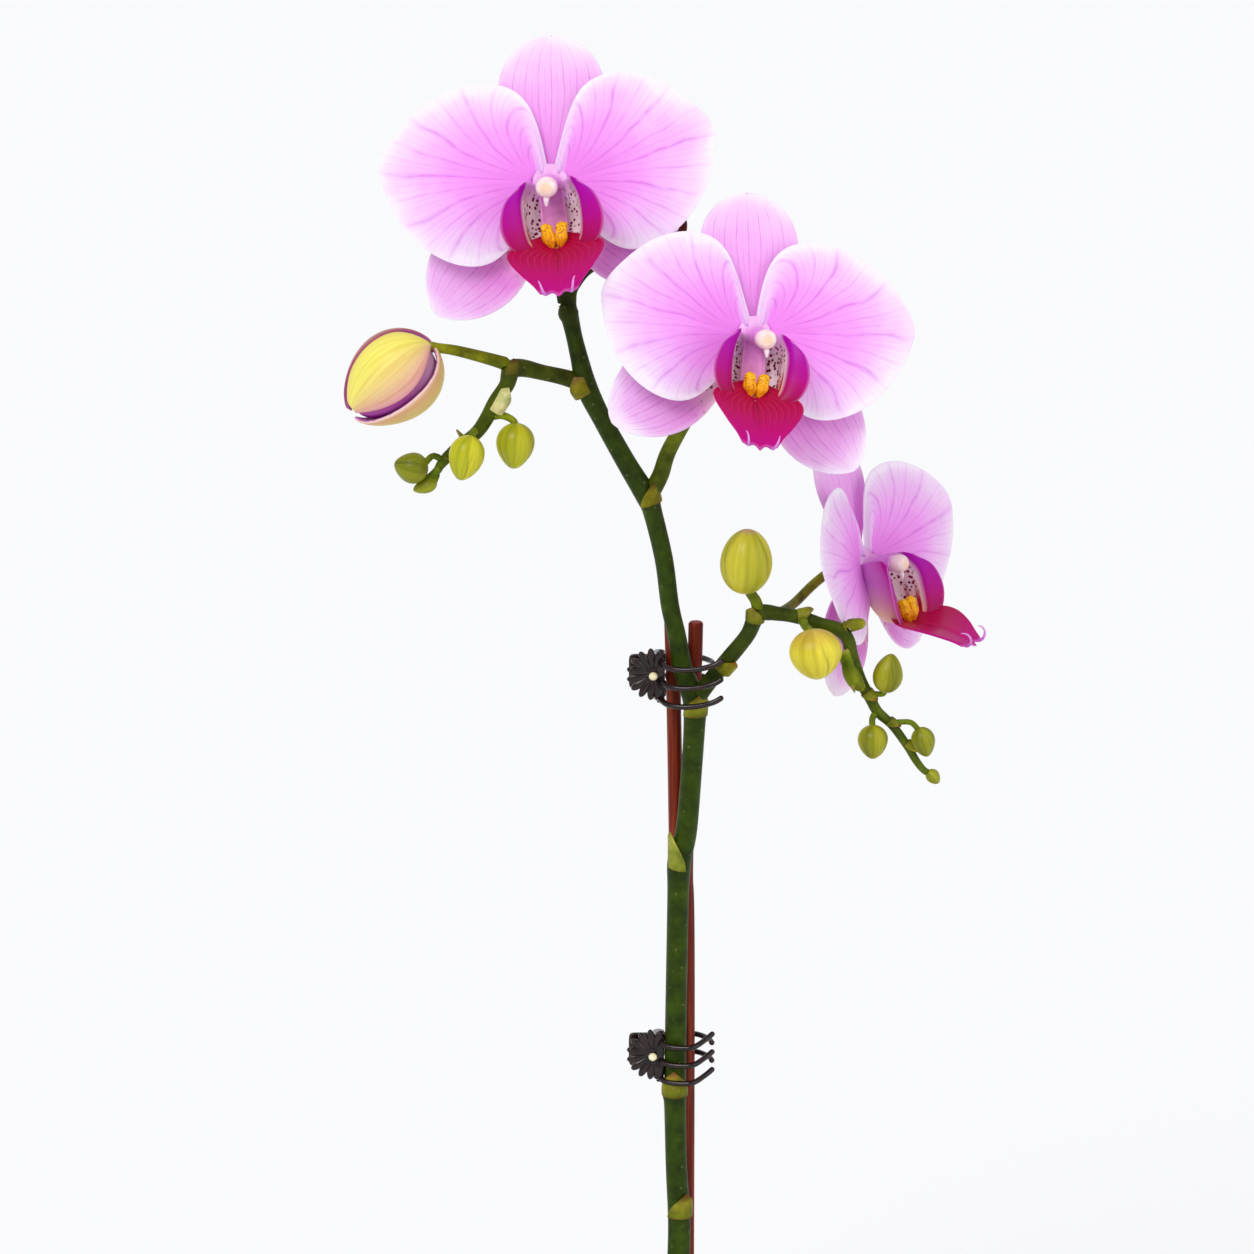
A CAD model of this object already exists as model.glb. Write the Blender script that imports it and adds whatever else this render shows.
"""A potted moth orchid in a glazed pot: leaves and roots, one staked flower spike with three flowers and
eleven buds, and two daisy clips. Sizes are in millimetres unless a line says otherwise."""

import math

import bmesh
import bpy
import numpy as np
from mathutils import Matrix, Vector


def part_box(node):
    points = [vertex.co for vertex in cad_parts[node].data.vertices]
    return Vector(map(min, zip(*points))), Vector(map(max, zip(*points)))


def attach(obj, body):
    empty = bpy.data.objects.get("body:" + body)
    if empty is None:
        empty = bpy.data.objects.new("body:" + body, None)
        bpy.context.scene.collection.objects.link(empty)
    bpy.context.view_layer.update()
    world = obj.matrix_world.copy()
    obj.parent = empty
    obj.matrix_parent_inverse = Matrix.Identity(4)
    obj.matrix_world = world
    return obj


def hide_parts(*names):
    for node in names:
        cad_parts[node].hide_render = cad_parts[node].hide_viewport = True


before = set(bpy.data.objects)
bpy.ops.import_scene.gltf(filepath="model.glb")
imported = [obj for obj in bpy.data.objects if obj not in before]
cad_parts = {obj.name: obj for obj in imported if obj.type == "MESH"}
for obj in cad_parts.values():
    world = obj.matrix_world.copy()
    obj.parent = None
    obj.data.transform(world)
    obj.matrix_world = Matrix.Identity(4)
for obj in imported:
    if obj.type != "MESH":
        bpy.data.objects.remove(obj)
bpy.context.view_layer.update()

# ---------------------------------------------------------------------------------------------------
# Studio: a plain pale floor, a soft key light from the upper left, a weaker one from the right, and
# the camera, which looks down on the flowers by 15 degrees with a long lens.

MM = 0.001
FLOOR_REACH = 20.0  # metres each way, so that no edge shows behind the flowers
CAMERA_DOWN = 15.0
CAMERA_AWAY = 1.5  # metres
CAMERA_AIM = (-12.9, -14.0, 398.1)


def linear(code):
    """An sRGB hex colour as linear red, green, blue and alpha."""
    value = np.array([int(code[i : i + 2], 16) for i in (1, 3, 5)]) / 255
    value = np.where(value <= 0.04045, value / 12.92, ((value + 0.055) / 1.055) ** 2.4)
    return (*(float(part) for part in value), 1.0)


def add(tree, kind, inputs=None, output=0, stops=None, **settings):
    """Adds a node with its settings, fills its inputs with values, hex colours or links, and gives an output.
    Stops are a colour ramp's places and hex colours."""
    node = tree.nodes.new("ShaderNode" + kind)
    for key, value in settings.items():
        setattr(node, key, value)
    if stops:
        ramp = node.color_ramp.elements
        ramp[0].position, ramp[0].color = stops[0][0], linear(stops[0][1])
        ramp[1].position, ramp[1].color = stops[-1][0], linear(stops[-1][1])
        for place, code in stops[1:-1]:
            ramp.new(place).color = linear(code)
    for key, value in (inputs or {}).items():
        if isinstance(value, bpy.types.NodeSocket):
            tree.links.new(value, node.inputs[key])
        else:
            node.inputs[key].default_value = linear(value) if isinstance(value, str) else value
    return node.outputs[output]


def new_finish(name, **sockets):
    """A material and its Principled shader. Sockets are named with underscores for spaces."""
    finish = bpy.data.materials.new(name)
    finish.use_nodes = True
    shader = finish.node_tree.nodes["Principled BSDF"]
    for key, value in sockets.items():
        shader.inputs[key.replace("_", " ")].default_value = linear(value) if isinstance(value, str) else value
    return finish, finish.node_tree, shader


# Matt seamless paper: pale and even, so nothing behind the plant draws the eye.
paper, tree, shader = new_finish("Seamless paper, matt white", Base_Color="#FDFDFD", Roughness=0.9)
grain = add(tree, "TexNoise", {"Vector": add(tree, "TexCoord", output=3), "Scale": 900.0})
tree.links.new(add(tree, "Bump", {"Height": grain, "Strength": 0.02, "Distance": 0.0002}), shader.inputs["Normal"])
floor_mesh = bpy.data.meshes.new("floor")
corner = FLOOR_REACH
floor_mesh.from_pydata([(-corner, -corner, 0), (corner, -corner, 0), (corner, corner, 0), (-corner, corner, 0)],
                       [], [(0, 1, 2, 3)])
floor_mesh.materials.append(paper)
floor = bpy.data.objects.new("floor", floor_mesh)
bpy.context.scene.collection.objects.link(floor)

room = bpy.data.worlds.new("studio")
room.use_nodes = True
room.node_tree.nodes["Background"].inputs["Color"].default_value = linear("#FBFCFF")
room.node_tree.nodes["Background"].inputs["Strength"].default_value = 0.62
bpy.context.scene.world = room
bpy.context.scene.view_settings.view_transform = "Standard"


def aim(thing, place, target):
    """Puts a light or the camera at a place and points it at a target, both in metres."""
    way = Vector(target) - Vector(place)
    thing.location = place
    thing.rotation_euler = way.to_track_quat("-Z", "Y").to_euler()
    bpy.context.scene.collection.objects.link(thing)


for name, kind, place, strength, spread in (
    ("key_light", "SUN", (-1.2, -2.0, 2.6), 1.4, 0.5),
    ("fill_light", "SUN", (2.0, -1.3, 1.1), 0.7, 0.9),
):
    lamp = bpy.data.lights.new(name, kind)
    lamp.energy = strength
    lamp.angle = spread
    aim(bpy.data.objects.new(name, lamp), place, (0, 0, 0.3))

down = math.radians(CAMERA_DOWN)
aim_at = Vector(CAMERA_AIM) * MM
camera = bpy.data.objects.new("camera", bpy.data.cameras.new("camera"))
camera.data.lens = 152.7
camera.data.sensor_width = 36
camera.data.clip_end = 100
aim(camera, aim_at + Vector((0, -math.cos(down), math.sin(down))) * CAMERA_AWAY, aim_at)
bpy.context.scene.camera = camera

# ---------------------------------------------------------------------------------------------------
# Pot: a tapered stoneware pot with a plain rim band, slip cast and dipped in a warm white glaze. The
# wall is one turned profile; the glaze is a little uneven and thins to a warmer tone at the rim.

POT_RIM_BAND = 12.0
POT_WALL = 4.0


def smooth_route(rows, steps=8):
    """Rows on a Catmull-Rom curve through the given ones: each span is a cubic whose ends take their
    slopes from the neighbours on either side."""
    rows = np.asarray(rows, float)
    rows = np.vstack([2 * rows[0] - rows[1], rows, 2 * rows[-1] - rows[-2]])
    t = np.linspace(0, 1, steps, endpoint=False)[:, None]
    spans = [b + 0.5 * t * (c - a + t * (2 * a - 5 * b + 4 * c - d + t * (3 * (b - c) + d - a)))
             for a, b, c, d in zip(rows, rows[1:], rows[2:], rows[3:])]
    return np.vstack([*spans, rows[-2:-1]])


def middle_of(node):
    """The middle of a CAD node's box, in millimetres."""
    low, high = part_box(node)
    return (np.array(low) + np.array(high)) / 2 / MM


def size_of(node):
    low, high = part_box(node)
    return (np.array(high) - np.array(low)) / MM


def on_grid(along, across, low=0.0, high=1.0):
    """Two parameters on a grid: u runs from 0 to 1 along, and v from low to high across."""
    return np.meshgrid(np.linspace(0, 1, along + 1), np.linspace(low, high, across + 1), indexing="ij")


def stack(x, y, z):
    return np.stack(np.broadcast_arrays(x, y, z), -1).astype(float)


def tinted(code, grid):
    """One hex colour, spread over a grid of points."""
    return np.broadcast_to(linear(code)[:3], (*grid.shape[:2], 3))


def blend(first, second, share):
    """A mix of two hex colours or colour arrays by a share from 0 to 1, given per point."""
    first, second = (linear(c)[:3] if isinstance(c, str) else c for c in (first, second))
    share = np.clip(share, 0, 1)[..., None]
    return np.asarray(first) * (1 - share) + np.asarray(second) * share


def make_piece(name, grids, finish, node, body="plant", sharp=None):
    """One mesh from grids of points in millimetres. Each grid is (points, (u, v), tint or None). Seams,
    poles and rims close where points meet, and then the faces are turned outwards."""
    points, faces, coords, tints, first = [], [], [], [], 0
    for spots, (u, v), tint in grids:
        rows, columns = spots.shape[:2]
        index = first + np.arange(rows * columns).reshape(rows, columns)
        quads = np.stack([index[:-1, :-1], index[1:, :-1], index[1:, 1:], index[:-1, 1:]], -1)
        faces.append(quads.reshape(-1, 4))
        points.append(spots.reshape(-1, 3) * MM)
        coords.append(np.stack(np.broadcast_arrays(u, v), -1).reshape(-1, 2))
        tints.append((tinted("#FFFFFF", spots) if tint is None else tint).reshape(-1, 3))
        first += rows * columns
    points, faces = np.vstack(points), np.vstack(faces)
    mesh = bpy.data.meshes.new(name)
    mesh.from_pydata(points, [], faces)
    mesh.uv_layers.new(name="UVMap").data.foreach_set("uv", np.vstack(coords)[faces.ravel()].ravel())
    colours = np.c_[np.vstack(tints), np.ones(len(points))]
    mesh.color_attributes.new("tint", "FLOAT_COLOR", "POINT").data.foreach_set("color", colours.ravel())
    bm = bmesh.new()
    bm.from_mesh(mesh)
    bmesh.ops.remove_doubles(bm, verts=bm.verts, dist=1e-6)
    bmesh.ops.recalc_face_normals(bm, faces=bm.faces)
    bm.to_mesh(mesh)
    bm.free()
    mesh.shade_smooth()
    if sharp:
        mesh.set_sharp_from_angle(angle=math.radians(sharp))
    mesh.materials.append(finish)
    piece = bpy.data.objects.new(name, mesh)
    bpy.context.scene.collection.objects.link(piece)
    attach(piece, body)
    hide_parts(*([node] if isinstance(node, str) else node))
    return piece


def turned(profile, around=96, steps=6):
    """A profile of (radius, height), smoothed and turned about Z."""
    route = smooth_route(profile, steps)
    share, angle = on_grid(len(route) - 1, around, 0, 2 * math.pi)
    radius, height = np.maximum(route[:, :1], 0), route[:, 1:]
    return stack(radius * np.cos(angle), radius * np.sin(angle), height), (angle / 2 / math.pi, share)


def pot_radius(height):
    """The outer radius of the wall below the band: a straight taper between the foot and the band."""
    top, foot = size_of("pot")[0] / 2 - 2, size_of("pot")[0] / 2 - 17.5
    return foot + (top - foot) * height / (size_of("pot")[2] - POT_RIM_BAND)


glaze, tree, shader = new_finish("Stoneware, warm white glaze", Roughness=0.14, IOR=1.52, Coat_Weight=0.35,
                                 Coat_Roughness=0.05)
place = add(tree, "TexCoord", output=3)
cloud = add(tree, "TexNoise", {"Vector": place, "Scale": 28.0, "Detail": 4.0})
specks = add(tree, "TexVoronoi", {"Vector": place, "Scale": 260.0})
tone = add(tree, "ValToRGB", {0: cloud}, stops=[(0.3, "#E9E4DA"), (0.6, "#F2EFE8"), (0.8, "#F6F4EF")])
speck = add(tree, "MapRange", {0: specks, 1: 0.05, 2: 0.09, 3: 0.35, 4: 0.0})
height = add(tree, "SeparateXYZ", {0: place}, output=2)
rim = add(tree, "MapRange", {0: height, 1: 0.1055, 2: 0.1098, 3: 0.0, 4: 0.55}, interpolation_type="SMOOTHSTEP")
tone = add(tree, "Mix", {0: rim, 6: tone, 7: "#D9C8AC"}, output=2, data_type="RGBA")
tone = add(tree, "Mix", {0: speck, 6: tone, 7: "#B9A98C"}, output=2, data_type="RGBA")
tree.links.new(tone, shader.inputs["Base Color"])
tree.links.new(add(tree, "Bump", {"Height": cloud, "Strength": 0.12, "Distance": 0.0012}), shader.inputs["Normal"])

high = size_of("pot")[2]
rim_radius = size_of("pot")[0] / 2
band = high - POT_RIM_BAND
inside = pot_radius(band) - POT_WALL
pot_profile = [(0, 6), (pot_radius(6) - POT_WALL - 3, 6), (pot_radius(8) - POT_WALL, 8.5),
               (pot_radius(50) - POT_WALL, 50), (inside, band), (inside, high - 1.6), (inside + 0.9, high - 0.2),
               (rim_radius - 2.2, high), (rim_radius - 0.5, high - 0.8), (rim_radius, high - 2.4),
               (rim_radius, band + 2.2), (rim_radius - 0.6, band + 0.8), (pot_radius(band) + 0.2, band - 0.2),
               (pot_radius(band - 4), band - 4), (pot_radius(50), 50), (pot_radius(6), 6), (pot_radius(2.5), 2.8),
               (pot_radius(0) - 0.9, 0.6), (pot_radius(0) - 3.0, 0), (pot_radius(0) - 6, 0.2),
               (pot_radius(0) - 7.5, 1.6), (0, 1.8)]
spots, uv = turned(pot_profile, 128)
make_piece("pot_glazed", [(spots, uv, None)], glaze, "pot", sharp=50)

# ---------------------------------------------------------------------------------------------------
# Potting bark: chunks of fir bark, screened to 8-16 mm and heaped loose to just under the rim. Each
# chip is a small lump with flattened faces, and together they stand on a dark bed.

BARK_LEVEL = 100.0
CHIPS = 520
rng = np.random.default_rng(7)
bed_radius = size_of("potting_bark")[0] / 2 - 0.2

bark, tree, shader = new_finish("Fir bark, dry broken faces", Roughness=0.9)
place = add(tree, "TexCoord", output=3)
fibre = add(tree, "TexNoise", {"Vector": place, "Scale": 420.0, "Detail": 5.0, "Distortion": 0.6})
tone = add(tree, "ValToRGB", {0: fibre}, stops=[(0.3, "#5E4630"), (0.5, "#9C7A58"), (0.72, "#D8B894")])
tint = add(tree, "VertexColor", layer_name="tint")
tone = add(tree, "Mix", {0: 1.0, 6: tint, 7: tone}, output=2, data_type="RGBA", blend_type="MULTIPLY")
tree.links.new(tone, shader.inputs["Base Color"])
tree.links.new(add(tree, "Bump", {"Height": fibre, "Strength": 0.6, "Distance": 0.0006}), shader.inputs["Normal"])


def chip_grids():
    """Lumps on a 5 by 8 grid of angles: the cosines are raised to a power below 1, which squares a ball
    off towards a block, and each is stretched, turned and set at its own place in the heap."""
    count = CHIPS
    turn = rng.uniform(0, 2 * math.pi, count)
    out = bed_radius * 0.93 * np.sqrt(rng.uniform(0, 1, count))
    keep = np.ones(count, bool)
    x, y = out * np.cos(turn), out * np.sin(turn)
    for node in ("crown", "stake_left", "stake_right", "main_stem"):
        cx, cy = middle_of(node)[:2] if node != "main_stem" else (-7.2, 6.5)
        keep &= np.hypot(x - cx, y - cy) > (12 if node == "crown" else 7)
    x, y = x[keep], y[keep]
    sizes = np.stack([rng.uniform(4.0, 7.8, len(x)), rng.uniform(2.6, 5.0, len(x)), rng.uniform(1.2, 2.2, len(x))], 1)
    dome = 2.0 * (1 - (x**2 + y**2) / bed_radius**2)
    z = BARK_LEVEL + dome - 2.6 + rng.uniform(-2.2, 0.9, len(x))
    heading, lean = rng.uniform(0, math.pi, len(x)), rng.uniform(-0.45, 0.45, (2, len(x)))
    shade = rng.uniform(0.35, 1.0, len(x))
    up, round_it = on_grid(5, 8, 0, 2 * math.pi)
    tall = np.pi * (up - 0.5)
    squared = lambda wave, power: np.sign(wave) * np.abs(wave) ** power
    lump = stack(squared(np.cos(tall), 0.5) * squared(np.cos(round_it), 0.6),
                 squared(np.cos(tall), 0.5) * squared(np.sin(round_it), 0.6), squared(np.sin(tall), 0.6))
    made = []
    for i in range(len(x)):
        wobble = 1 + 0.16 * np.sin(round_it * 2 + i) * np.cos(tall) + 0.1 * np.sin(3 * round_it + 2 * i) * np.cos(tall)
        body = lump * sizes[i] * wobble[..., None]
        tilt = Matrix.Rotation(heading[i], 3, "Z") @ Matrix.Rotation(lean[0, i], 3, "X")
        tilt = tilt @ Matrix.Rotation(lean[1, i], 3, "Y")
        body = body @ np.array(tilt).T + (x[i], y[i], z[i])
        made.append((body, (round_it, up), tinted("#FFFFFF", body) * shade[i] ** 0.8))
    return made


bed_profile = [(0, 94), (bed_radius * 0.5, 94), (bed_radius - 1, 93.5), (bed_radius - 1.4, 90), (0, 88)]
spots, uv = turned(bed_profile, 48, 3)
make_piece("potting_bark_chips", [(spots, uv, tinted("#3A2A1C", spots)), *chip_grids()], bark, "potting_bark")
# ---------------------------------------------------------------------------------------------------
# Crown and leaves: five fleshy strap leaves that clasp a short stem by turns, left and right. Each is a
# folded blade with a groove down its midrib, thick in the middle and drawn to a soft edge.

CROWN_PLACE = (-6.0, 17.0)
CROWN_RADIUS = 8.5
CROWN_FOOT = 94.0
LEAF_LENGTH = 175.0
LEAF_WIDTH = 64.0
LEAVES = [
    ("leaf_1", 186, 10.0, 1.00, 0.97, 36, 42),
    ("leaf_2", -6, 14.0, 1.06, 1.03, 40, 44),
    ("leaf_3", 173, 19.0, 0.88, 1.00, 58, 30),
    ("leaf_4", 7, 23.0, 0.92, 0.97, 56, 34),
    ("leaf_5", 178, 28.0, 0.50, 0.66, 78, -20),
]

leaf, tree, shader = new_finish("Orchid leaf, waxy cuticle", Roughness=0.36, IOR=1.45, Coat_Weight=0.3,
                                Coat_Roughness=0.2)
place = add(tree, "TexCoord", output=3)
across = add(tree, "SeparateXYZ", {0: add(tree, "UVMap", uv_map="UVMap")}, output=0)
cloud = add(tree, "TexNoise", {"Vector": place, "Scale": 38.0, "Detail": 3.0})
cells = add(tree, "TexNoise", {"Vector": place, "Scale": 700.0, "Detail": 2.0})
tone = add(tree, "ValToRGB", {0: cloud}, stops=[(0.3, "#24491B"), (0.55, "#376427"), (0.75, "#4C7A33")])
midrib = add(tree, "Math", {0: across, 1: 0.5}, operation="SUBTRACT")
midrib = add(tree, "MapRange", {0: add(tree, "Math", {0: midrib}, operation="ABSOLUTE"), 1: 0.0, 2: 0.05, 3: 0.5,
                                4: 0.0}, interpolation_type="SMOOTHSTEP")
tone = add(tree, "Mix", {0: midrib, 6: tone, 7: "#6C9448"}, output=2, data_type="RGBA")
tint = add(tree, "VertexColor", layer_name="tint")
tone = add(tree, "Mix", {0: 1.0, 6: tint, 7: tone}, output=2, data_type="RGBA", blend_type="MULTIPLY")
tree.links.new(tone, shader.inputs["Base Color"])
tree.links.new(add(tree, "Bump", {"Height": cells, "Strength": 0.18, "Distance": 0.0004}), shader.inputs["Normal"])


def blade_width(u, base, rise, tip=0.5):
    """The half width of a blade, as a share of its widest: a sine raised to a power out to its middle,
    then an ellipse, or with a tip power above a half a pointed arch, round to its end."""
    middle = 0.58
    swell = base + (1 - base) * np.sin(np.pi / 2 * np.minimum(u / middle, 1)) ** rise
    arch = np.clip(1 - (np.maximum(u - middle, 0) / 0.42) ** 2, 0, 1) ** tip
    return np.where(u < middle, swell, arch)


def two_faces(spots, thick, uv, tints=(None, None)):
    """The front and back of a thin organ from its middle surface: each point moves half the thickness
    along the surface's normal, the cross product of the grid's two slopes."""
    along, across = np.gradient(spots, axis=0), np.gradient(spots, axis=1)
    normal = np.cross(along, across)
    length = np.linalg.norm(normal, axis=-1, keepdims=True)
    normal = normal / np.maximum(length, 1e-9)
    step = normal * thick[..., None] / 2
    return [(spots + step, uv, tints[0]), (spots - step, uv, tints[1])]


def soft_edge(u, v, edge=0.08, start=0.01):
    """A thickness share that is 1 inside and falls to nothing at every rim, as a quarter circle does."""
    near = np.minimum(np.minimum((1 - np.abs(v)) / edge, (1 - u) / edge), u / start)
    return np.sqrt(np.clip(1 - (1 - np.clip(near, 0, 1)) ** 2, 0, 1))


def round_ends(count):
    """Shares from 0 to 1, set close together at both ends."""
    return (1 - np.cos(np.linspace(0, np.pi, count + 1))) / 2


def leaf_blade(length, width, rise, droop, phase):
    """A strap that leaves at the rise angle and bends evenly to the droop angle, so its path is an arc.
    Its halves fold up from the midrib, with a shallow wave along each edge."""
    rise, droop = math.radians(rise), math.radians(droop)
    bend = rise + droop
    u, v = np.meshgrid(round_ends(72), 2 * round_ends(40) - 1, indexing="ij")
    half = width / 2 * blade_width(u, 0.42, 1.4)
    slope = rise - bend * u
    out = length * (math.sin(rise) - np.sin(slope)) / bend
    up = length * (np.cos(slope) - math.cos(rise)) / bend
    fold = np.radians(34 - 20 * u) * np.abs(v)
    lift = half * (np.abs(v) - 0.08 * np.exp(-((v / 0.12) ** 2))) * np.sin(fold + 0.02)
    lift = lift + 0.9 * np.sin(5.5 * u + phase + 1.5 * np.sign(v)) * v**4 * np.sin(np.pi * u)
    spots = stack(out - lift * np.sin(slope), half * v * np.cos(fold), up + lift * np.cos(slope))
    thick = (1.7 + 1.3 * np.exp(-((v / 0.3) ** 2))) * soft_edge(u, v, 0.05)
    return spots, thick, ((v + 1) / 2, u)


def turn_and_place(spots, degrees, place, axis="Z"):
    matrix = np.array(Matrix.Rotation(math.radians(degrees), 3, axis))
    return spots @ matrix.T + np.asarray(place, float)


for number, (name, heading, height, long, wide, rise, droop) in enumerate(LEAVES):
    spots, thick, uv = leaf_blade(LEAF_LENGTH * long, LEAF_WIDTH * wide, rise, droop, number * 1.7)
    reach = CROWN_RADIUS + 1.7
    x = CROWN_PLACE[0] + reach * math.cos(math.radians(heading))
    y = CROWN_PLACE[1] + reach * math.sin(math.radians(heading))
    spots = turn_and_place(spots, heading, (x, y, CROWN_FOOT + height))
    shade = blend("#FFFFFF", "#D9C7A8", np.clip(1 - uv[1] * 9, 0, 1) * 0.8)
    under = blend("#E6F0C8", "#C8A8A0", np.clip(1 - uv[1] * 6, 0, 1) * 0.7)
    make_piece(f"{name}_blade", two_faces(spots, thick, uv, (shade, under)), leaf, name)

# The crown is a short stem wrapped in old leaf sheaths, so it is a stack of low collars.
crown_high = size_of("crown")[2]
crown_profile = [(0, 0), (7.4, 0.1), (8.4, 2), (8.2, 8), (7.6, 9.2), (8.1, 10.2), (7.8, 16), (7.1, 17.2),
                 (7.4, 18.4), (6.9, 24), (6.0, 26), (6.2, 27), (5.2, 32), (3.2, 35.5), (0, crown_high)]
spots, uv = turned(crown_profile, 48)
spots = spots + (*CROWN_PLACE, CROWN_FOOT)
make_piece("crown_sheaths", [(spots, uv, tinted("#C9C98A", spots))], leaf, "crown")

# ---------------------------------------------------------------------------------------------------
# Aerial roots: three that left the crown and lie on the bark. Dry, they are silvery green with a spongy
# skin, and each ends in a growing point of clean bright green.

ROOT_RADIUS = 2.6
ROOTS = [
    ("root_1", [(-12.5, 5.5), (-18, -4), (-25, -18), (-36, -27), (-43, -29)]),
    ("root_2", [(7.5, 5.5), (13, -1), (22, -12), (26, -26), (33, -36)]),
    ("root_3", [(-8, 29.5), (-4, 38), (6, 44), (19, 45), (28, 41)]),
]


def tube(rows, around=20, step=0.8, facing=(0, 1, 0), wave=None):
    """A round tube along rows of x, y, z and radius, with ends rounded as half balls. Each ring lies
    square to the path, on two directions that come from crossing its slope with the facing direction."""
    route = smooth_route(rows)
    run = np.r_[0, np.cumsum(np.linalg.norm(np.diff(route[:, :3], axis=0), axis=1))]
    total, first, last = run[-1], route[0, 3], route[-1, 3]
    ease = 1 - np.cos(np.linspace(0, np.pi / 2, 6))
    s = np.unique(np.r_[first * ease, np.arange(first, total - last, step), total - last * ease])
    s = s[(s >= 0) & (s <= total)]
    centre = np.stack([np.interp(s, run, route[:, axis]) for axis in range(3)], 1)
    radius = np.interp(s, run, route[:, 3])
    for reach, gone in ((first, s), (last, total - s)):
        radius = radius * np.sqrt(np.clip(1 - np.clip(1 - gone / reach, 0, 1) ** 2, 0, 1))
    slope = np.gradient(centre, s, axis=0)
    side = np.cross(slope, facing)
    side /= np.linalg.norm(side, axis=1, keepdims=True)
    other = np.cross(side, slope)
    other /= np.linalg.norm(other, axis=1, keepdims=True)
    share, angle = np.meshgrid(s / total, np.linspace(0, 2 * np.pi, around + 1), indexing="ij")
    if wave is not None:
        radius = radius * wave(s / total, s)
    ring = np.cos(angle)[..., None] * side[:, None] + np.sin(angle)[..., None] * other[:, None]
    return centre[:, None] + ring * radius[:, None, None], (angle / 2 / np.pi, share)


velamen, tree, shader = new_finish("Velamen, dry spongy root skin", Roughness=0.75)
place = add(tree, "TexCoord", output=3)
cloud = add(tree, "TexNoise", {"Vector": place, "Scale": 160.0, "Detail": 4.0})
pits = add(tree, "TexVoronoi", {"Vector": place, "Scale": 900.0})
tone = add(tree, "ValToRGB", {0: cloud}, stops=[(0.35, "#C8CDB8"), (0.55, "#E4E8D8"), (0.75, "#FFFFFF")])
tint = add(tree, "VertexColor", layer_name="tint")
tone = add(tree, "Mix", {0: 1.0, 6: tint, 7: tone}, output=2, data_type="RGBA", blend_type="MULTIPLY")
tree.links.new(tone, shader.inputs["Base Color"])
tree.links.new(add(tree, "Bump", {"Height": pits, "Strength": 0.3, "Distance": 0.0002}), shader.inputs["Normal"])

for name, places in ROOTS:
    places = np.array(places, float)
    level = BARK_LEVEL + 2 * (1 - np.sum(places**2, 1) / bed_radius**2) + ROOT_RADIUS + 0.6
    radii = np.r_[np.full(len(places) - 1, ROOT_RADIUS), ROOT_RADIUS * 0.5]
    spots, uv = tube(np.c_[places, level, radii], 20, 0.9, (0, 0, 1), lambda t, s: 1 - 0.03 * np.sin(s * 1.1) ** 2)
    shade = blend("#A4AB86", "#5E8A34", (uv[1] - 0.86) / 0.06)
    make_piece(f"{name}_velamen", [(spots, uv, shade)], velamen, name)

# ---------------------------------------------------------------------------------------------------
# Stakes: two split-bamboo flower stakes, stained red-brown, with sawn flat tops. They run side by side
# behind the spike; the grain runs along them and the stain is darker in the pores.

SPIKE_MIDDLE = np.array((2.0, -14.0, 215.0))
STAKE_RADIUS = 2.1
STAKES = {
    "stake_left": [(0, 10.4, 30), (-0.2, 10.4, 280), (-0.9, 10.1, 336), (-1.6, 9.7, 374), (-2.3, 9.5, 398)],
    "stake_right": [(2.6, 6.3, 30), (2.6, 6.3, 282), (2.0, 6.3, 326), (3.4, 6.5, 358), (4.3, 6.4, 384),
                    (4.6, 6.2, 398)],
}

bamboo, tree, shader = new_finish("Bamboo, red-brown stain", Roughness=0.42, IOR=1.25)
place = add(tree, "TexCoord", output=3)
stretched = add(tree, "Mapping", {"Vector": place, "Scale": (900.0, 900.0, 26.0)})
grain = add(tree, "TexNoise", {"Vector": stretched, "Scale": 1.0, "Detail": 3.0})
cloud = add(tree, "TexNoise", {"Vector": place, "Scale": 60.0, "Detail": 3.0})
tone = add(tree, "ValToRGB", {0: grain}, stops=[(0.3, "#3A0C05"), (0.52, "#74220F"), (0.75, "#98401F")])
worn = add(tree, "MapRange", {0: cloud, 1: 0.5, 2: 0.75, 3: 0.0, 4: 0.5})
tone = add(tree, "Mix", {0: worn, 6: tone, 7: "#4A1208"}, output=2, data_type="RGBA")
tint = add(tree, "VertexColor", layer_name="tint")
tone = add(tree, "Mix", {0: 1.0, 6: tint, 7: tone}, output=2, data_type="RGBA", blend_type="MULTIPLY")
tree.links.new(tone, shader.inputs["Base Color"])
tree.links.new(add(tree, "Bump", {"Height": grain, "Strength": 0.25, "Distance": 0.0002}), shader.inputs["Normal"])

for name, places in STAKES.items():
    x, y, _ = SPIKE_MIDDLE
    rows = [(x + px, y + py, pz, STAKE_RADIUS) for px, py, pz in places]
    route = smooth_route(rows, 24)
    end = route[-1:]
    sizes = np.r_[0, STAKE_RADIUS, np.full(len(route) - 2, STAKE_RADIUS), STAKE_RADIUS * 0.8, 0]
    route = np.vstack([route[:1], route, end - (0, 0, 0.0, 0)])
    route[-2, 2] = route[-1, 2]
    route[-3, 2] = route[-1, 2] - 0.5
    share, angle = on_grid(len(route) - 1, 28, 0, 2 * math.pi)
    spots = stack(route[:, :1] + sizes[:, None] * np.cos(angle), route[:, 1:2] + sizes[:, None] * np.sin(angle),
                  route[:, 2:3])
    shade = np.where((share > 0.985)[..., None], np.array(linear("#FFF2E8")[:3]) * 1.5, np.ones(3))
    make_piece(f"{name}_bamboo", [(spots, (angle / 2 / math.pi, share), shade)], bamboo, name, sharp=45)

# ---------------------------------------------------------------------------------------------------
# Flower spike: one green stem with a side branch on each side, made of firm juicy stalk. It swells into
# a ring at each node, where a dry pointed bract clasps it, and thins into the flower stalks.

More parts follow.
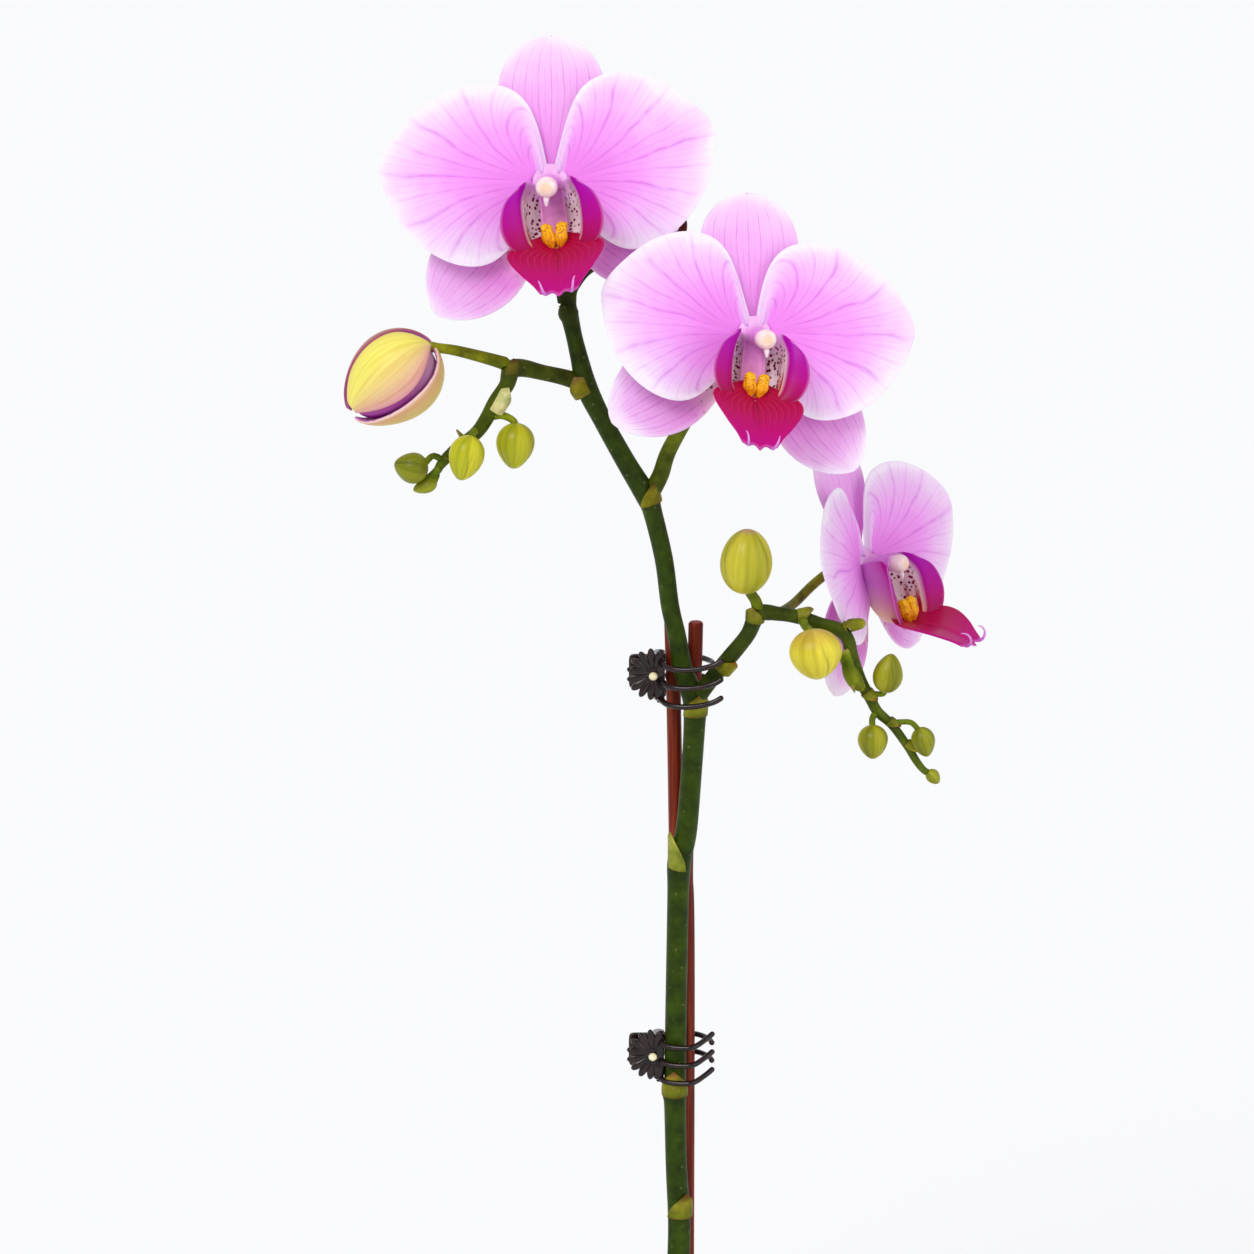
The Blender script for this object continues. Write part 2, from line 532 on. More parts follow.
MAIN_STEM = [
    (-9.2, 20.5, -105, 2.5), (-9.6, 15, -95, 3.0), (-8.0, 7, -76, 3.1), (-4.5, 2.5, -52, 3.1),
    (-1.2, 0.4, -25, 3.2), (0.3, 0, 0, 3.3), (-0.6, 0, 21.6, 3.1), (-1.0, 0, 40, 3.2), (-1.1, 0, 43, 3.6),
    (-1.0, 0, 46, 3.2), (-0.8, 0, 69, 3.1), (-0.3, 0, 103, 3.1), (-0.1, 0, 112, 3.4), (0.4, 0, 116, 3.4),
    (2.1, 0, 124, 3.1), (3.5, 0, 142, 3.0), (4.2, 0, 154, 3.1), (4.3, 0, 161, 3.4), (2.6, 0, 166, 3.0),
    (0.8, 0, 171.4, 2.8), (-0.8, 0, 180.4, 2.6), (-2.8, 0, 189.5, 2.6), (-4.5, 0, 202.6, 2.6),
    (-7.6, 0, 216, 2.7), (-9.4, 0, 221, 3.1), (-15.2, 0, 230.9, 2.8), (-21.7, 0, 242.9, 2.7),
    (-26.0, 0, 252, 3.0), (-28.2, 0, 260.7, 2.5), (-29.6, 0, 266.8, 2.3), (-30.6, 0, 271.4, 2.5),
    (-31.2, 0, 273.5, 2.9), (-30.9, 1, 276.4, 2.0), (-29.6, 2, 280.6, 1.6), (-24.0, 4, 286, 1.5),
    (-11.3, 6, 289.3, 1.6), (-2.5, 6, 293.0, 1.8), (0.3, 6, 294.2, 1.6), (1.6, 6, 294.8, 0.7),
]
FLOWER_1_PEDICEL = [(-31.4, 0, 274, 2.4), (-33.3, 2, 284, 2.1), (-34.6, 1, 297, 2.0), (-35.2, -3.5, 306, 2.0),
                    (-35.7, -8.5, 311.5, 2.0)]
FLOWER_2_PEDICEL = [(-9.0, 0, 220.5, 2.6), (-5.6, 0, 227, 2.4), (-2.8, 0, 235, 2.2), (5.6, -1, 250, 2.0),
                    (14.0, -8, 264, 2.0), (18.6, -18, 271.2, 2.0)]
LEFT_BRANCH = [
    (-26.6, 0, 253.2, 2.6), (-32.4, -1, 255.3, 2.3), (-38.4, -2, 256.9, 2.2), (-44.0, -4, 258.6, 2.5),
    (-47.0, -5, 258.2, 2.6), (-48.3, -5, 254.0, 2.2), (-51.6, -5, 249.2, 2.0), (-54.1, -5, 244.2, 2.0),
    (-57.0, -5, 240.2, 1.9), (-61.8, -4.4, 236.4, 1.7), (-66.0, -4.4, 232.2, 1.5), (-68.0, -4.6, 229.4, 1.0),
]
LEFT_STALKS = [
    [(-46.2, -5, 259.0, 2.2), (-51.0, -5, 260.8, 1.8), (-61.5, -6, 263.8, 1.5), (-67.0, -7, 264.9, 1.4),
     (-69.8, -9.2, 265.6, 1.6), (-71.6, -10, 264.6, 1.6)],
    [(-53.9, -5, 244.8, 1.3), (-50.0, -5, 245.4, 1.1), (-46.8, -5, 244.1, 1.0), (-45.8, -5.7, 242.6, 1.0)],
    [(-66.0, -4.4, 232.4, 1.0), (-68.6, -5, 233.8, 0.9), (-70.0, -5.6, 233.2, 0.9), (-71.4, -6.8, 231.6, 0.9)],
    [(-57.0, -5, 240.4, 1.2), (-57.4, -9, 241.8, 1.1), (-58.2, -12.4, 240.4, 1.0)],
    [(-67.4, -4.6, 230.2, 1.0), (-68.0, -5.2, 228.2, 0.9), (-68.8, -5.9, 226.0, 0.8)],
]
RIGHT_BRANCH = [
    (4.4, -0.4, 161.5, 2.4), (8.5, -3, 168.1, 2.3), (13.8, -5, 175.4, 2.3), (18.9, -7, 182.6, 2.2),
    (22.0, -9, 189.3, 2.4), (27.9, -9, 189.3, 2.0), (33.6, -9, 188.3, 2.0), (39.5, -9, 186.3, 1.9),
    (44.6, -9, 184.7, 2.0), (47.1, -9, 181.7, 1.9), (48.2, -9, 177.0, 1.9), (50.5, -9, 170.3, 1.8),
    (53.4, -9, 165.0, 1.6), (55.6, -9, 160.9, 1.5), (59.8, -9, 156.9, 1.3), (64.0, -9, 151.0, 1.2),
    (66.8, -9, 146.3, 1.1), (69.0, -9, 143.6, 1.0), (71.0, -9, 142.6, 0.9),
]
RIGHT_STALKS = [
    [(21.6, -7.6, 189, 1.6), (26.8, 5, 185.4, 1.5), (32.4, 20, 184.4, 1.4), (38.1, 29, 187.5, 1.4),
     (43.0, 34, 190.2, 1.4), (47.6, 34, 193.0, 1.4)],
    [(22.0, -9, 189.6, 1.8), (21.2, -10.5, 193.2, 1.6), (20.2, -11, 195.0, 1.5), (18.6, -11.8, 197.4, 1.4)],
    [(34.0, -9, 188, 1.5), (34.6, -12.5, 187.6, 1.3), (34.8, -14.0, 187.2, 1.2), (36.4, -18.8, 186.6, 1.2)],
    [(52.8, -9, 166.2, 1.0), (55.6, -9, 166.0, 0.8), (57.2, -9.8, 166.4, 0.8), (57.6, -10.8, 168.4, 0.8)],
    [(55.4, -9, 161.3, 1.1), (54.2, -10.8, 159.6, 0.9), (54.0, -11.8, 158.9, 0.9), (54.1, -13.4, 156.8, 0.9)],
    [(59.2, -9, 157.3, 1.0), (62.4, -9.6, 158.0, 0.8), (65.2, -10.2, 157.9, 0.8), (67.4, -10.5, 155.6, 0.8)],
]

stalk, tree, shader = new_finish("Orchid stalk, green with pale flecks", Roughness=0.45, IOR=1.22)
place = add(tree, "TexCoord", output=3)
cloud = add(tree, "TexNoise", {"Vector": place, "Scale": 180.0, "Detail": 4.0, "Roughness": 0.6})
fine = add(tree, "TexNoise", {"Vector": place, "Scale": 1500.0, "Detail": 2.0})
fleck = add(tree, "TexVoronoi", {"Vector": place, "Scale": 330.0})
fleck = add(tree, "MapRange", {0: fleck, 1: 0.06, 2: 0.16, 3: 0.2, 4: 0.0}, interpolation_type="SMOOTHSTEP")
tone = add(tree, "ValToRGB", {0: cloud}, stops=[(0.3, "#848C50"), (0.55, "#C4C684"), (0.75, "#F4F4B0")])
tint = add(tree, "VertexColor", layer_name="tint")
tone = add(tree, "Mix", {0: 1.0, 6: tint, 7: tone}, output=2, data_type="RGBA", blend_type="MULTIPLY")
tone = add(tree, "Mix", {0: fleck, 6: tone, 7: "#9BA86A"}, output=2, data_type="RGBA")
tree.links.new(tone, shader.inputs["Base Color"])
tree.links.new(add(tree, "Bump", {"Height": fine, "Strength": 0.12, "Distance": 0.0002}), shader.inputs["Normal"])


def on_spike(rows):
    """Rows measured from the spike's middle, moved to the pot's frame."""
    rows = np.asarray(rows, float)
    return np.c_[rows[:, :3] + SPIKE_MIDDLE, rows[:, 3:]]


def stem_tube(rows, low, high, around=24, step=0.7, facing=(0, 1, 0), reach=(0.0, 1.0)):
    """A stalk whose colour runs from its foot to its far end between two places along it."""
    spots, uv = tube(on_spike(rows), around, step, facing)
    return spots, uv, blend(low, high, (uv[1] - reach[0]) / (reach[1] - reach[0]))


def bract(foot, axis, front, radius, length, spread=100, lean=0.1, codes=("#8C9428", "#A8A040", "#8A5A38")):
    """A scale leaf: a strip bent round the stalk, whose half angle shrinks to nothing at its tip, so it
    ends in a point, and which leans away from the stalk as it rises."""
    u, v = np.meshgrid(round_ends(18), 2 * round_ends(20) - 1, indexing="ij")
    axis = np.array(axis, float) / np.linalg.norm(axis)
    front = np.array(front, float) - np.dot(front, axis) * axis
    front /= np.linalg.norm(front)
    side = np.cross(axis, front)
    angle = math.radians(spread) * v * (1 - u**1.4)
    out = radius + 0.25 + lean * length * u**1.3
    spots = (np.array(foot) + SPIKE_MIDDLE + axis * (length * u)[..., None]
             + (np.cos(angle) * out)[..., None] * front + (np.sin(angle) * out)[..., None] * side)
    shade = blend(blend(codes[0], codes[1], u * 1.6), codes[2], (u - 0.62) / 0.3)
    shade = blend(shade, codes[2], 0.7 * (1 - u * 9))
    return two_faces(spots, 0.55 * soft_edge(u, v, 0.12, 0.05), (v, u), (shade, shade))


def node_ring(at, axis, radius, thick=0.5, code="#5A4A22"):
    """A raised scar round the stalk: a short tube that swells in the middle."""
    axis = np.array(axis, float) / np.linalg.norm(axis)
    at = np.array(at, float)
    rows = [(*(at + axis * s), radius + r) for s, r in ((-1.1, -0.35), (-0.4, thick), (0.4, thick), (1.1, -0.35))]
    spots, uv = tube(on_spike(rows), 24, 0.2)
    return spots, uv, tinted(code, spots)


main_grids = [
    stem_tube(MAIN_STEM, "#405808", "#3C500A"),
    stem_tube(FLOWER_1_PEDICEL, "#344608", "#7C8A30", reach=(0.1, 0.8)),
    stem_tube(FLOWER_2_PEDICEL, "#5A6A14", "#8C9A2C", reach=(0.0, 0.5)),
    node_ring((-31.2, 0, 273.5), (-0.4, 0, 1), 2.7, 0.35, "#241608"),
    node_ring((-1.1, 0, 43), (0, 0, 1), 3.3), node_ring((4.3, 0, 160), (0, 0, 1), 3.2),
    node_ring((-0.1, 0, 111.5), (0, 0, 1), 3.2),
    *bract((-1.1, 0, 43.2), (0, 0, 1), (-0.1, -1, 0), 3.3, 8.5, 105, 0.05),
    *bract((0.2, 0, 111.8), (0.15, 0, 1), (-1, -0.45, 0), 3.2, 11, 95, 0.14, ("#A8B050", "#C8CC78", "#B8B060")),
    *bract((4.4, 0, 157.2), (0, 0, 1), (0.55, -1, 0), 3.1, 7.5, 110, 0.06),
    *bract((-8.2, 0, 218.8), (-0.3, 0, 1), (0.8, -0.8, 0), 2.9, 6.5, 105, 0.1, ("#98921E", "#A89C28", "#7A5A30")),
    *bract((0.3, 0, 6.0), (0, 0, 1), (0.6, -1, 0), 3.3, 8.0, 105, 0.05),
    *bract((-26.4, 0, 250.4), (-0.6, 0, 0.9), (0.1, -1, 0), 2.9, 6.5, 110, 0.08, ("#98921E", "#A89C28", "#A08070")),
]
dry_rows = [(-1.0, 6, 291.5, 1.5), (0.2, 6, 294.5, 1.35), (0.9, 6, 297.4, 0.95), (0.9, 6, 299.4, 0.3)]
spots, uv = tube(on_spike(dry_rows), 20, 0.4)
main_grids.append((spots, uv, blend("#3C140C", "#7A3424", (uv[0] - 0.3) * 2)))
make_piece("main_stem_stalk", main_grids, stalk, "main_stem")

left_grids = [
    stem_tube(LEFT_BRANCH, "#565F10", "#607414"),
    stem_tube(LEFT_STALKS[0], "#8C9410", "#B4B42C"), stem_tube(LEFT_STALKS[1], "#8C9C1C", "#A8B420"),
    *[stem_tube(rows, "#6A7C1E", "#8C9C1C") for rows in LEFT_STALKS[2:]],
    node_ring((-46.4, -5, 258.6), (-0.7, 0, 0.5), 2.2, 0.35, "#5A4A20"),
    *bract((-46.6, -5, 257.4), (-0.25, 0, 0.9), (0.6, -1, 0), 2.4, 4.5, 90, 0.08, ("#6A6A28", "#7A7028", "#6A4A28")),
    *bract((-51.8, -5, 246.6), (0.55, 0, 0.85), (-0.2, -1, 0), 2.0, 8.4, 150, 0.04, ("#FFF0EC", "#FFFFFF", "#FFF4F0")),
    *bract((-60.2, -4.6, 237.0), (-0.9, 0, 0.6), (0.2, 0, 1), 1.5, 4.2, 95, 0.12, ("#98A028", "#A8A840", "#A88A50")),
    node_ring((-53.9, -5, 244.6), (0.5, 0, 0.8), 1.9, 0.25, "#6A6A2C"),
    node_ring((-65.0, -4.4, 233.2), (0.6, 0, 0.7), 1.45, 0.3, "#8A8A48"),
]
curl_rows = [(-66.4, -4.4, 232, 1.25), (-68.0, -5.0, 229.4, 1.2), (-70.6, -5.6, 227.4, 1.1), (-73.2, -6.4, 227.6, 0.8)]
left_grids.append(stem_tube(curl_rows, "#6E8420", "#8CA024"))
make_piece("left_branch_stalk", left_grids, stalk, "left_branch")

right_grids = [
    stem_tube(RIGHT_BRANCH, "#3C4C08", "#68791A"),
    stem_tube(RIGHT_STALKS[0], "#808C22", "#A0A834", facing=(0, 0, 1)),
    *[stem_tube(rows, "#7A8A20", "#9AA828", 16, 0.4) for rows in RIGHT_STALKS[1:2]],
    stem_tube(RIGHT_STALKS[2], "#7A8A20", "#9AA828", 16, 0.4, (0, 0, 1)),
    *[stem_tube(rows, "#6E8420", "#98A828", 16, 0.4) for rows in (RIGHT_STALKS[3], RIGHT_STALKS[5])],
    stem_tube(RIGHT_STALKS[4], "#6E8420", "#98A828", 16, 0.4, (0, 0, 1)),
    *bract((11.8, -4.4, 171.6), (0.55, -0.2, 0.8), (0.5, -1, -0.3), 2.3, 5.6, 120, 0.06, ("#98921E", "#A8A028", "#A07030")),
    node_ring((5.6, -1, 163.4), (0.5, -0.3, 0.8), 2.3, 0.3, "#6A5A28"),
    *bract((21.0, -8.4, 187.2), (0.1, -0.2, 1), (-0.6, -1, 0), 2.3, 5.2, 110, 0.08, ("#8C9428", "#A8A040", "#A89060")),
    *bract((33.0, -9, 188.4), (1, 0, 0.1), (0, -0.6, 1), 1.9, 4.6, 100, 0.1, ("#8C9428", "#A8A040", "#A89060")),
    *bract((52.2, -9, 166.8), (0.5, 0, -0.8), (0.6, -0.8, 0.3), 1.6, 3.8, 100, 0.12),
    *bract((58.6, -9, 158.2), (0.7, 0, -0.7), (0.5, -0.6, 0.6), 1.3, 3.6, 100, 0.12),
    *bract((63.6, -9, 151.8), (0.6, 0, -0.8), (0.8, -0.4, 0.4), 1.2, 5.2, 95, 0.3),
]
peg_rows = [(45.4, -9, 185.2, 1.9), (47.6, -9.2, 186.0, 1.9), (50.4, -9.6, 186.6, 1.6), (52.0, -9.8, 186.8, 1.0)]
small_bud_rows = [(48.0, -10, 177.6, 0.7), (47.2, -11.6, 174.6, 1.9), (49.0, -12.0, 170.8, 2.3), (51.6, -11.4, 167.8, 1.0)]
right_grids.append(stem_tube(peg_rows, "#A89A38", "#B4B43C", 20, 0.4))
right_grids.append(stem_tube(small_bud_rows, "#7E9A1C", "#A2A428", 24, 0.4))
right_grids += bract((45.8, -9.6, 179.0), (0.35, -0.25, -0.95), (-0.5, -1, -0.2), 1.4, 12.5, 100, 0.02,
                     ("#8C9C28", "#7E9420", "#D8C0A0"))
make_piece("right_branch_stalk", right_grids, stalk, "right_branch")

# ---------------------------------------------------------------------------------------------------
# Buds: closed flowers in their sepals, firm and glossy, from yellow-green when small to yellow blushed
# with pink when nearly open. Three sepals meet in seams that run together at the tip.

BUDS = [
    ("bud_left_1", (-46.0, -6, 236.9), 11.6, 11.0, 13.0, 185, 20, "#C4C428", "#A8AA1C", "#7A7A20"),
    ("bud_left_2", (-59.6, -12.6, 235.0), 10.7, 10.0, 13.0, 195, -35, "#D4D030", "#B8BA20", "#7A7A20"),
    ("bud_left_3", (-75.0, -7, 230.9), 9.4, 9.0, 9.6, -75, 40, "#8E921A", "#747C14", "#5A6A14"),
    ("bud_left_4", (-71.2, -6, 225.4), 4.6, 4.6, 7.0, -110, 10, "#9CA020", "#848A18", "#5A6A14"),
    ("bud_upright", (18.3, -12, 205.2), 15.0, 14.0, 18.6, 4, 15, "#CCC23A", "#B4B02C", "#C08A80"),
    ("bud_yellow", (37.6, -20, 180.6), 15.6, 14.0, 14.4, 172, -20, "#ECDC48", "#D8C838", "#A8904A"),
    ("bud_right_1", (58.4, -11, 172.6), 9.0, 8.6, 11.4, 10, 60, "#A2A020", "#808216", "#7A7030"),
    ("bud_right_2", (54.2, -13.6, 153.3), 9.2, 8.8, 9.8, 180, 30, "#A6A420", "#828416", "#6A7020"),
    ("bud_right_3", (68.6, -10.5, 152.4), 7.2, 7.0, 8.8, 165, -10, "#989A20", "#7A8018", "#6A7020"),
    ("bud_tip", (71.6, -9, 141.7), 4.2, 4.2, 4.8, 140, 0, "#A2A428", "#8A8C20", "#5A6A14"),
]

BLUNT_BUDS = {"bud_upright": 0.12, "bud_yellow": 0.25}  # these narrow less towards the tip

bud_skin, tree, shader = new_finish("Bud sepal, glossy and firm", Roughness=0.32, IOR=1.3,
                                    Subsurface_Weight=0.08, Subsurface_Scale=0.002)
place = add(tree, "TexCoord", output=3)
flow = add(tree, "UVMap", uv_map="UVMap")
stripes = add(tree, "TexNoise", {"Vector": add(tree, "Mapping", {"Vector": flow, "Scale": (26.0, 1.6, 1.0)}),
                                 "Scale": 1.0, "Detail": 2.0})
fine = add(tree, "TexNoise", {"Vector": place, "Scale": 1300.0, "Detail": 2.0})
tone = add(tree, "ValToRGB", {0: stripes}, stops=[(0.3, "#DCDCC8"), (0.55, "#F4F4E8"), (0.75, "#FFFFFF")])
tint = add(tree, "VertexColor", layer_name="tint")
tone = add(tree, "Mix", {0: 1.0, 6: tint, 7: tone}, output=2, data_type="RGBA", blend_type="MULTIPLY")
tree.links.new(tone, shader.inputs["Base Color"])
tree.links.new(add(tree, "Bump", {"Height": fine, "Strength": 0.1, "Distance": 0.0002}), shader.inputs["Normal"])


def bud_surface(wide, deep, long, seam, groove=0.055, keel=0.025, taper=0.35, twist=0.5):
    """An egg whose radius is a sine of its polar angle, drawn in towards its tip. Three seams cut it: each
    is a narrow dip beside a low step, where one sepal overlaps the next, and each sepal has a low keel."""
    polar, around = on_grid(48, 96, 0, 2 * math.pi)
    polar = polar * math.pi
    height = -np.cos(polar) / 2
    narrow = 1 - taper * (height + 0.5) ** 2
    turn = around + math.radians(seam) + twist * (height + 0.5)
    phase = (turn * 3 / (2 * math.pi)) % 1
    gap = np.minimum(phase, 1 - phase)
    late = np.clip((height + 0.42) / 0.4, 0, 1)
    dip = groove * np.exp(-((gap / 0.055) ** 2)) * late
    fold = 1 - dip + 0.035 * (0.5 - phase) * late + keel * np.exp(-(((phase - 0.5) / 0.12) ** 2)) * late
    radius = np.sin(polar) * narrow * fold / 2
    spots = stack(wide * radius * np.cos(around), deep * radius * np.sin(around), long * height)
    return spots, (around / 2 / math.pi, polar / math.pi), gap, height + 0.5


for name, centre, wide, deep, long, turn, seam, sunny, shady, tip in BUDS:
    spots, uv, gap, rise = bud_surface(wide, deep, long, seam, taper=BLUNT_BUDS.get(name, 0.35))
    spots = turn_and_place(spots, turn, np.add(centre, SPIKE_MIDDLE), "Y")
    shade = blend(shady, sunny, 0.5 + 0.5 * np.cos(uv[0] * 2 * math.pi * 3))
    shade = blend(shade, tip, (rise - 0.93) / 0.07 * 0.7)
    shade = blend(shade, "#4E5A10", 0.55 * np.exp(-((gap / 0.03) ** 2)) * np.clip(rise * 2 - 0.3, 0, 1))
    if name == "bud_yellow":
        shade = blend(shade, "#B87A4A", 0.5 * np.clip(1 - rise * 3, 0, 1))
    make_piece(f"{name}_sepals", [(spots, uv, shade)], bud_skin, name)

# ---------------------------------------------------------------------------------------------------
# Large bud: about to open. Its three sepals have begun to part, and the rolled petals show between them
# as a purple wedge. Each sepal is a thick shell that follows the same egg, a little further out.

LARGE_BUD = {"centre": (-79.8, -10, 256.7), "size": (25.0, 21.0, 28.5), "turn": -132}

large_skin, tree, shader = new_finish("Bud sepal, yellow with a pink flush", Roughness=0.38, IOR=1.25,
                                      Subsurface_Weight=0.1,
                                      Subsurface_Scale=0.003)
place = add(tree, "TexCoord", output=3)
flow = add(tree, "UVMap", uv_map="UVMap")
stripes = add(tree, "TexNoise", {"Vector": add(tree, "Mapping", {"Vector": flow, "Scale": (22.0, 1.4, 1.0)}),
                                 "Scale": 1.0, "Detail": 3.0, "Distortion": 0.3})
fine = add(tree, "TexNoise", {"Vector": place, "Scale": 900.0, "Detail": 2.0})
tone = add(tree, "ValToRGB", {0: stripes}, stops=[(0.34, "#F0E6D0"), (0.5, "#FAF8F0"), (0.7, "#FFFFFF")])
tint = add(tree, "VertexColor", layer_name="tint")
tone = add(tree, "Mix", {0: 1.0, 6: tint, 7: tone}, output=2, data_type="RGBA", blend_type="MULTIPLY")
tree.links.new(tone, shader.inputs["Base Color"])
tree.links.new(add(tree, "Bump", {"Height": stripes, "Strength": 0.25, "Distance": 0.0005}), shader.inputs["Normal"])


def egg_point(polar, around, grow=1.0):
    """A point of the bud's egg at a polar angle from its foot and an angle round it, 0 facing the viewer
    and rising towards the side that ends up lowest."""
    wide, deep, long = LARGE_BUD["size"]
    height = -np.cos(polar) / 2
    radius = np.sin(polar) * (1 - 0.3 * (height + 0.5) ** 2) / 2
    return stack(-wide * grow * radius * np.sin(around), -deep * grow * radius * np.cos(around), long * height * grow)


def shell(middle, spread, low, high, grow, lift=0.0):
    """One sepal: the part of the egg within a spread of angles that narrows to both its ends, as a sine
    does, with a shallow keel."""
    u, v = np.meshgrid(round_ends(48), 2 * round_ends(36) - 1, indexing="ij")
    polar = np.radians(low + (high - low) * u)
    half = math.radians(spread) * np.clip(np.sin(np.pi * (0.06 + 0.88 * u)), 0, 1) ** 0.45
    spots = egg_point(polar, math.radians(middle) + half * v, grow + lift * u * u)
    return spots, u, v


def sepal_shell(middle, spread, low, high, grow, lift, codes):
    """A shell with its colours: yellow along its middle, flushed towards both edges, pale at the very rim."""
    spots, u, v = shell(middle, spread, low, high, grow, lift)
    face = blend(codes[0], codes[1], np.clip(v * codes[4] + 0.15, 0, 1) ** 1.2 + 0.2 * np.abs(v) ** 3)
    face = blend(face, codes[2], (np.abs(v) - 0.9) / 0.1 * 0.8)
    back = blend(codes[3], codes[3], u)
    grids = two_faces(spots, 1.1 * soft_edge(u, v, 0.05, 0.02), ((v + 1) / 2, u), (face, back))
    outward = np.sum((grids[0][0] - spots) * spots) > 0
    if not outward:
        grids = two_faces(spots, 1.1 * soft_edge(u, v, 0.05, 0.02), ((v + 1) / 2, u), (back, face))
    return grids


polar, around = on_grid(48, 80, 0, 2 * math.pi)
core = egg_point(polar * math.pi, around, 0.94)
pleat = 1 - 0.02 * np.cos(around * 7 + 3 * polar)
core = core * np.stack([pleat, pleat, np.ones_like(pleat)], -1)
core_shade = blend("#7E1280", "#B050B0", 0.5 + 0.5 * np.sin(around * 9 + 5 * polar))
core_shade = blend(core_shade, "#D0A8C0", 1 - polar * 2.0)
large_grids = [(core, (around / 2 / math.pi, polar), core_shade)]
large_grids += sepal_shell(-32, 56, 3, 159, 1.0, 0.0, ("#F4EA70", "#E0A0A8", "#E0A8A8", "#B060B0", 0.8))
large_grids += sepal_shell(86, 52, 6, 174, 1.03, 0.03, ("#D8CC60", "#E4B090", "#F6DCE2", "#C070B8", -0.7))
large_grids += sepal_shell(-128, 52, 5, 168, 1.04, 0.02, ("#CDAA80", "#B87080", "#A04088", "#B060B0", 0.5))
large_grids = [(turn_and_place(spots, LARGE_BUD["turn"], np.add(LARGE_BUD["centre"], SPIKE_MIDDLE), "Y"), uv, shade)
               for spots, uv, shade in large_grids]
make_piece("bud_large_opening", large_grids, large_skin, "bud_large")

# ---------------------------------------------------------------------------------------------------
# Flowers: three open blooms. Behind lie three sepals, one up and two down; in front of them two broad
# petals; in the middle the column and the lip. All are thin living tissue with a net of pink veins.

FLOWERS = [
    {"centre": (-35.8, -13, 312.4), "yaw": -4, "pitch": 14, "scale": 1.0, "dorsal": 91, "laterals": (229, 326),
     "lengths": (48, 41), "petals": (3, 17), "lip_roll": -9, "hang": 40, "cups": (2, 2), "lip_scale": 1.0},
    {"centre": (19.7, -25, 272.7), "yaw": 14, "pitch": 14, "scale": 0.955, "dorsal": 88, "laterals": (208, 306),
     "lengths": (48, 50), "petals": (17, -4), "lip_roll": 12, "hang": 46, "cups": (3, 3), "lip_scale": 1.0},
    {"centre": (53.0, 30, 194.6), "yaw": 58, "pitch": 14, "scale": 0.9, "dorsal": 90, "laterals": (234, 318),
     "lengths": (46, 46), "petals": (4, 10), "lip_roll": 0, "hang": 24, "cups": (15, 9), "lip_scale": 1.13},
]
LAYER = 1.9
ACROSS_SPREAD = 64.0


def vein_field(tree, along, across, wobble, octaves):
    """Lines that run along a blade and fork: each octave has twice the lines of the last, a line being
    where a sine across the blade crosses nothing, and each begins further out than the last."""
    total = None
    for count, strength, start, sharp in octaves:
        wave = add(tree, "Math", {0: across, 1: count * math.pi}, operation="MULTIPLY")
        wave = add(tree, "Math", {0: add(tree, "Math", {0: wave, 1: wobble}, operation="ADD")}, operation="SINE")
        wave = add(tree, "Math", {0: 1.0, 1: add(tree, "Math", {0: wave}, operation="ABSOLUTE")}, operation="SUBTRACT")
        wave = add(tree, "Math", {0: wave, 1: sharp}, operation="POWER")
        fade = add(tree, "MapRange", {0: along, 1: start, 2: start + 0.25, 3: 0.0, 4: strength},
                   interpolation_type="SMOOTHSTEP")
        line = add(tree, "Math", {0: wave, 1: fade}, operation="MULTIPLY")
        total = line if total is None else add(tree, "Math", {0: total, 1: line}, operation="MAXIMUM")
    return total


